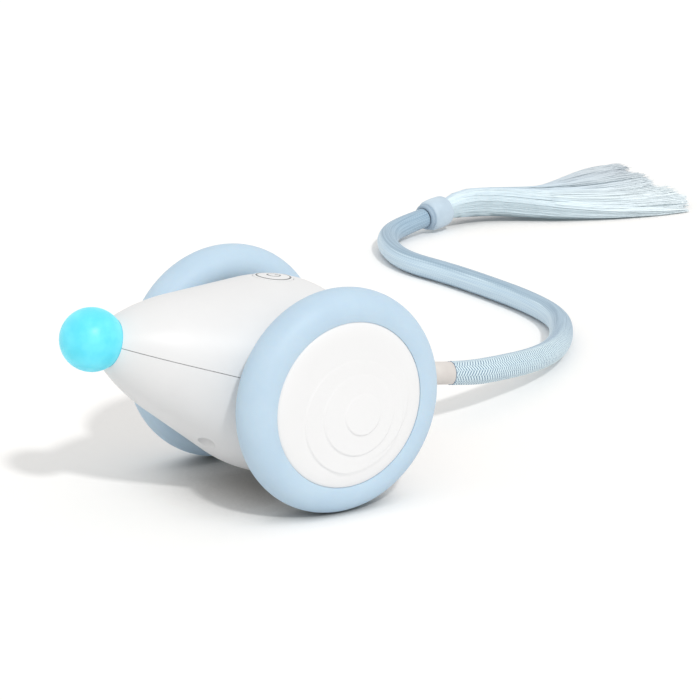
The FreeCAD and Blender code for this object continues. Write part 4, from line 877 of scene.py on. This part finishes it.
def tassel_tree(material):
    """Loose yarns in locks, which leave the bead's mouth and fan out over the floor."""
    tree = bpy.data.node_groups.new("loose_yarns", "GeometryNodeTree")
    tree.interface.new_socket("Geometry", in_out="OUTPUT", socket_type="NodeSocketGeometry")
    inputs = {"Yarns": "NodeSocketInt", "Thickness": "NodeSocketFloat", "Seed": "NodeSocketInt"}
    for name, kind in inputs.items():
        tree.interface.new_socket(name, in_out="INPUT", socket_type=kind)
    graph = YarnTree(tree)
    given = tree.nodes.new("NodeGroupInput")
    yarns, thickness, seed = (Wire(graph, given.outputs[name]) for name in inputs)

    # One straight strand of points for each yarn, numbered
    starts = graph.node("GeometryNodeMeshLine", {"mode": "OFFSET"}, {"Count": yarns})
    numbered = graph.stored(starts, "INT", "yarn", graph.node("GeometryNodeInputIndex"))
    segment = graph.node("GeometryNodeCurvePrimitiveLine", {"mode": "POINTS"}, {"End": (0.0, 1.0, 0.0)})
    strand = graph.node("GeometryNodeResampleCurve", {}, {"Curve": segment, "Count": YARN_POINTS})
    placed = graph.node("GeometryNodeInstanceOnPoints", {}, {"Points": numbered, "Instance": strand})
    curves = graph.node("GeometryNodeRealizeInstances", {}, {0: placed})
    yarn_number = graph.node("GeometryNodeInputNamedAttribute", {"data_type": "INT"}, {"Name": "yarn"})
    along = graph.node("GeometryNodeSplineParameter")

    # What each yarn and each lock is like
    lock = graph.random(0.0, float(LOCKS), seed + 3, yarn_number).math("FLOOR")
    stray = graph.random(-1.0, 1.0, seed + 4, yarn_number)
    layer = graph.random(-1.0, 1.0, seed + 5, yarn_number)
    wave = graph.random(0.0, 6.28, 13, lock)
    own_wave = graph.random(0.0, 6.28, seed + 14, yarn_number)
    swing = graph.random(0.3, 1.0, 17, lock)
    tone = graph.random(0.0, 1.0, 19, lock)
    length = graph.random(0.88, 1.03, seed + 7, yarn_number) - graph.random(0.0, 0.09, 8, lock)
    lock_lift = graph.random(-0.7, 0.7, 23, lock)

    # Its place across the tassel (-1 to 1) and along it (0 to 1), in millimetres where it lies
    across = (lock + 0.5) / (LOCKS / 2) - 1 + stray * 0.15
    travel = along * (length - across.within(0.3, 1.0) * 0.1)
    swell = travel.within(0.0, 0.11)
    bend = travel.within(0.14, 0.42) * 9.0
    middle = TASSEL_MIDDLE - swell * 4.5 + bend - travel.within(0.5, 1.0) * 7.5
    half_width = MOUTH_RADIUS + swell * 2.0 + travel.within(0.18, 0.98) * TIP_SPREAD
    sway = (travel * (swing * 6.0) + wave).math("SINE") * 1.5 + (travel * 9.0 + own_wave).math("SINE") * 0.5
    forward = TASSEL_START + travel * TASSEL_LENGTH
    near_sag = across.within(-0.2, 1.0) * travel.within(0.05, 0.6) * 4.4
    sag = travel.within(0.1, 1.0, 0.0, 2.8, soft=False) + near_sag
    far_lift = (-across).within(-0.2, 1.0) * travel.within(0.15, 0.9) * 1.7
    roundness = (1 - across * across * 0.75).math("MAXIMUM", 0.06).math("SQRT")
    depth = MOUTH_RADIUS + swell * 1.9 - travel.within(0.15, 0.9) * 3.3
    rise = MOUTH_HEIGHT - sag + far_lift + layer * roundness * depth + lock_lift * travel
    height = (rise + (travel * 5.0 + wave).math("SINE") * travel * 0.7).math("MAXIMUM", LOWEST_YARN)
    place = graph.vector((middle + across * half_width + sway * travel) * MM, forward * MM, height * MM)

    # The yarns, with their lock's tone and side kept for the material and the shading. The tone is painted
    # light and shade: lighter towards the near (+X) side, partly each lock's own tone.
    toned = graph.stored(curves, "FLOAT", "lock_tone_and_painted_light", tone * 0.35 + across.within(-0.7, 0.5) * 0.65)
    sided = graph.stored(toned, "FLOAT", "lock_side", across)
    moved = graph.node("GeometryNodeSetPosition", {}, {"Geometry": sided, "Position": place})
    sized = graph.node("GeometryNodeSetCurveRadius", {}, {0: moved, "Radius": 1.0 - travel * 0.45})
    ring = graph.node("GeometryNodeCurvePrimitiveCircle", {"mode": "RADIUS"},
                      {"Resolution": 3, "Radius": thickness})
    solid = graph.node("GeometryNodeCurveToMesh", {}, {
        "Curve": sized, "Profile Curve": ring, "Fill Caps": True,
        "Scale": graph.node("GeometryNodeInputRadius")})
    rounded = graph.node("GeometryNodeSetShadeSmooth", {}, {0: solid})
    whole = graph.node("GeometryNodeRealizeInstances", {}, {0: rounded})
    covered = graph.node("GeometryNodeSetMaterial", {}, {"Geometry": whole, "Material": material})
    tree.links.new(covered.socket, tree.nodes.new("NodeGroupOutput").inputs[0])
    return tree


def grown(name, tree, values):
    """Run a tree with its named inputs and keep the result as a plain mesh."""
    host = make_object(name + "_host", bpy.data.meshes.new(name + "_host"))
    modifier = host.modifiers.new("grow", "NODES")
    modifier.node_group = tree
    for item in tree.interface.items_tree:
        if item.in_out == "INPUT":
            modifier[item.identifier] = values[item.name]
    bpy.context.view_layer.update()
    mesh = bpy.data.meshes.new_from_object(host.evaluated_get(bpy.context.evaluated_depsgraph_get()))
    mesh.name = name
    bpy.data.objects.remove(host)
    return make_object(name, mesh)


def silky_shading(mesh):
    """Shade the yarns mostly as one soft bunch: up in the middle and outwards at its two sides."""
    sides = [item.value for item in mesh.attributes["lock_side"].data]
    bunch = [Vector((0.5 * side, -0.1, 1.0)).normalized() for side in sides]
    own = [normal.vector.copy() for normal in mesh.vertex_normals]
    mesh.normals_split_custom_set_from_vertices([(whole * 0.72 + one * 0.28).normalized()
                                                 for whole, one in zip(bunch, own)])


yarn_growth = tassel_tree(FINISHES["tassel_blue"])
tassel = [grown(name, yarn_growth, {"Yarns": TASSEL_YARNS, "Thickness": YARN_RADIUS * MM, "Seed": seed})
          for name, seed in (("tassel_yarns", 0), ("tassel_fill_yarns", 40))]
for yarns in tassel:
    silky_shading(yarns.data)
    stand_for(yarns, "tail_tassel")


# Tail: the bead. Its outline is in millimetres, along from the cord's end and out from the middle

BEAD_COLLAR = [(0.9, 0.001), (0.7, 3.2), (0.3, 4.1), (0.4, 4.7), (1.0, 5.0), (1.6, 4.9), (1.9, 4.65)]
BEAD_NEAR_END = (2.0, 4.7, 2.2, 1.25)   # of the barrel: its place and how far it is rounded
BEAD_BELLY = (7.0, 6.05)
BEAD_FAR_END = (12.2, 3.9, -2.2, 2.0)
BEAD_MOUTH = [(11.9, 3.2), (11.7, 0.001)]
BEAD_LENGTH = 12.6      # for its map
BEAD_SIDES = 72


def rounded_end(along, out, length, rise):
    """A quarter round from an end of the barrel to its side."""
    angles = [math.radians(90 * step / 8) for step in range(9)]
    return [(along + length * (1 - math.cos(angle)), out + rise * math.sin(angle)) for angle in angles]


def bead_mesh():
    """A barrel along the tail's last run, with a collar at the cord and a dished mouth at each end."""
    outline = BEAD_COLLAR + rounded_end(*BEAD_NEAR_END) + [BEAD_BELLY]
    outline += rounded_end(*BEAD_FAR_END)[::-1] + BEAD_MOUTH
    start = Vector(TAIL_ROUTE[-1])
    towards = (start - Vector(TAIL_ROUTE[-2])).normalized()
    across = towards.cross(Vector((0, 0, 1))).normalized()
    upright = across.cross(towards)
    corners = []
    for step in range(BEAD_SIDES):
        angle = 2 * math.pi * step / BEAD_SIDES
        aside = across * math.cos(angle) + upright * math.sin(angle)
        corners += [start + (towards * along + aside * radius) * MM for along, radius in outline]
    faces = grid_faces(BEAD_SIDES, len(outline), True, False)
    mesh = mesh_from("tail_bead_barrel", corners, faces)
    map_grid(mesh, len(faces), len(outline) - 1,
             lambda step, index: (step / BEAD_SIDES, outline[index][0] / BEAD_LENGTH))
    turn_outwards(mesh, 0.01 * MM)
    smooth(mesh, 60)
    return mesh


bead = make_object("tail_bead_barrel", bead_mesh())
stand_for(bead, "tail_bead")
[tuple(point) for point in spaced(tail_line, 0.0012)[0]]


# Floor, light and camera

PAPER_HALF = 8          # metres from the toy to each edge of the paper
SKY_STRENGTH = 0.74     # what lights the toy: the camera and reflections see a sky of 1
LAMP_SIDE = (1.05, -0.18, 1.0)

# The camera as fitted to the photo's outlines: its place in metres, its lens in millimetres
CAMERA_PLACE = (0.61016, -0.360305, 0.23932)
CAMERA_HEADING = math.radians(56.653)
CAMERA_ELEVATION = math.radians(15.668)
LENS_LENGTH = 138.88
SENSOR_WIDTH = 36


def studio_paper():
    """White paper that shows nearly white to the camera, with painted shade under the toy where ambient
    occlusion finds it closed in.
    """
    finish = Finish("white_studio_floor")
    rays = finish.place("ShaderNodeLightPath").outputs
    seen = Wire(finish, rays["Is Camera Ray"]).math("MAXIMUM", Wire(finish, rays["Is Glossy Ray"]))
    seen = seen.math("MAXIMUM", Wire(finish, rays["Is Transmission Ray"]))
    # Painted shade: near the toy, the paper's colour darkens where ambient occlusion is low.
    openness = finish.node("ShaderNodeAmbientOcclusion", {"samples": 12}, {"Distance": 0.035}, 1)
    from_toy = finish.node("ShaderNodeVectorMath", {"operation": "LENGTH"}, {0: finish.position}, 1)
    outside_painted_shade = openness.within(0.0, 0.65).math("MAXIMUM", from_toy.within(0.07, 0.11))
    shown_with_painted_shade = finish.blend_colours(outside_painted_shade, (0.29, 0.28, 0.265), (1.07, 1.055, 1.035))
    paper = finish.blend_colours(seen, (0.84, 0.835, 0.83), shown_with_painted_shade)
    plain = finish.place("ShaderNodeBsdfDiffuse", {}, {"Color": paper})
    finish.tree.links.new(plain.outputs[0], finish.output.inputs[0])
    return finish.material


paper_corners = [(x * PAPER_HALF, y * PAPER_HALF, 0) for x, y in ((-1, -1), (1, -1), (1, 1), (-1, 1))]
floor = make_object("studio_floor", mesh_from("studio_floor", paper_corners, [(0, 1, 2, 3)]))
floor.data.materials.append(studio_paper())

world = bpy.data.worlds.new("studio")
bpy.context.scene.world = world
world.use_nodes = True
sky = Graph(world.node_tree)
sky.tree.nodes.clear()
sky_rays = sky.place("ShaderNodeLightPath").outputs
sky_seen = Wire(sky, sky_rays["Is Camera Ray"]).math("MAXIMUM", Wire(sky, sky_rays["Is Glossy Ray"]))
backdrop = sky.place("ShaderNodeBackground", {}, {
    0: (1.0, 0.995, 0.99, 1.0), 1: sky_seen * (1 - SKY_STRENGTH) + SKY_STRENGTH})
sky.tree.links.new(backdrop.outputs[0], sky.place("ShaderNodeOutputWorld").inputs[0])

lamp_data = bpy.data.lights.new("key_lamp", "SUN")
lamp_data.energy = 1.16
lamp_data.angle = math.radians(4.5)
lamp = make_object("key_lamp", lamp_data)
lamp.rotation_euler = Vector(LAMP_SIDE).to_track_quat("Z", "Y").to_euler()

camera_data = bpy.data.cameras.new("photo_camera")
camera_data.sensor_width = SENSOR_WIDTH
camera_data.lens = LENS_LENGTH
camera_data.clip_start = 0.05
camera_data.clip_end = 60
camera = make_object("photo_camera", camera_data)
back = Vector((math.cos(CAMERA_ELEVATION) * math.sin(CAMERA_HEADING),
               -math.cos(CAMERA_ELEVATION) * math.cos(CAMERA_HEADING),
               math.sin(CAMERA_ELEVATION)))
right = Vector((math.cos(CAMERA_HEADING), math.sin(CAMERA_HEADING), 0))
turn = Matrix((right, back.cross(right), back)).transposed().to_4x4()
camera.matrix_world = Matrix.Translation(CAMERA_PLACE) @ turn
bpy.context.scene.camera = camera
bpy.context.scene.view_settings.view_transform = "Standard"
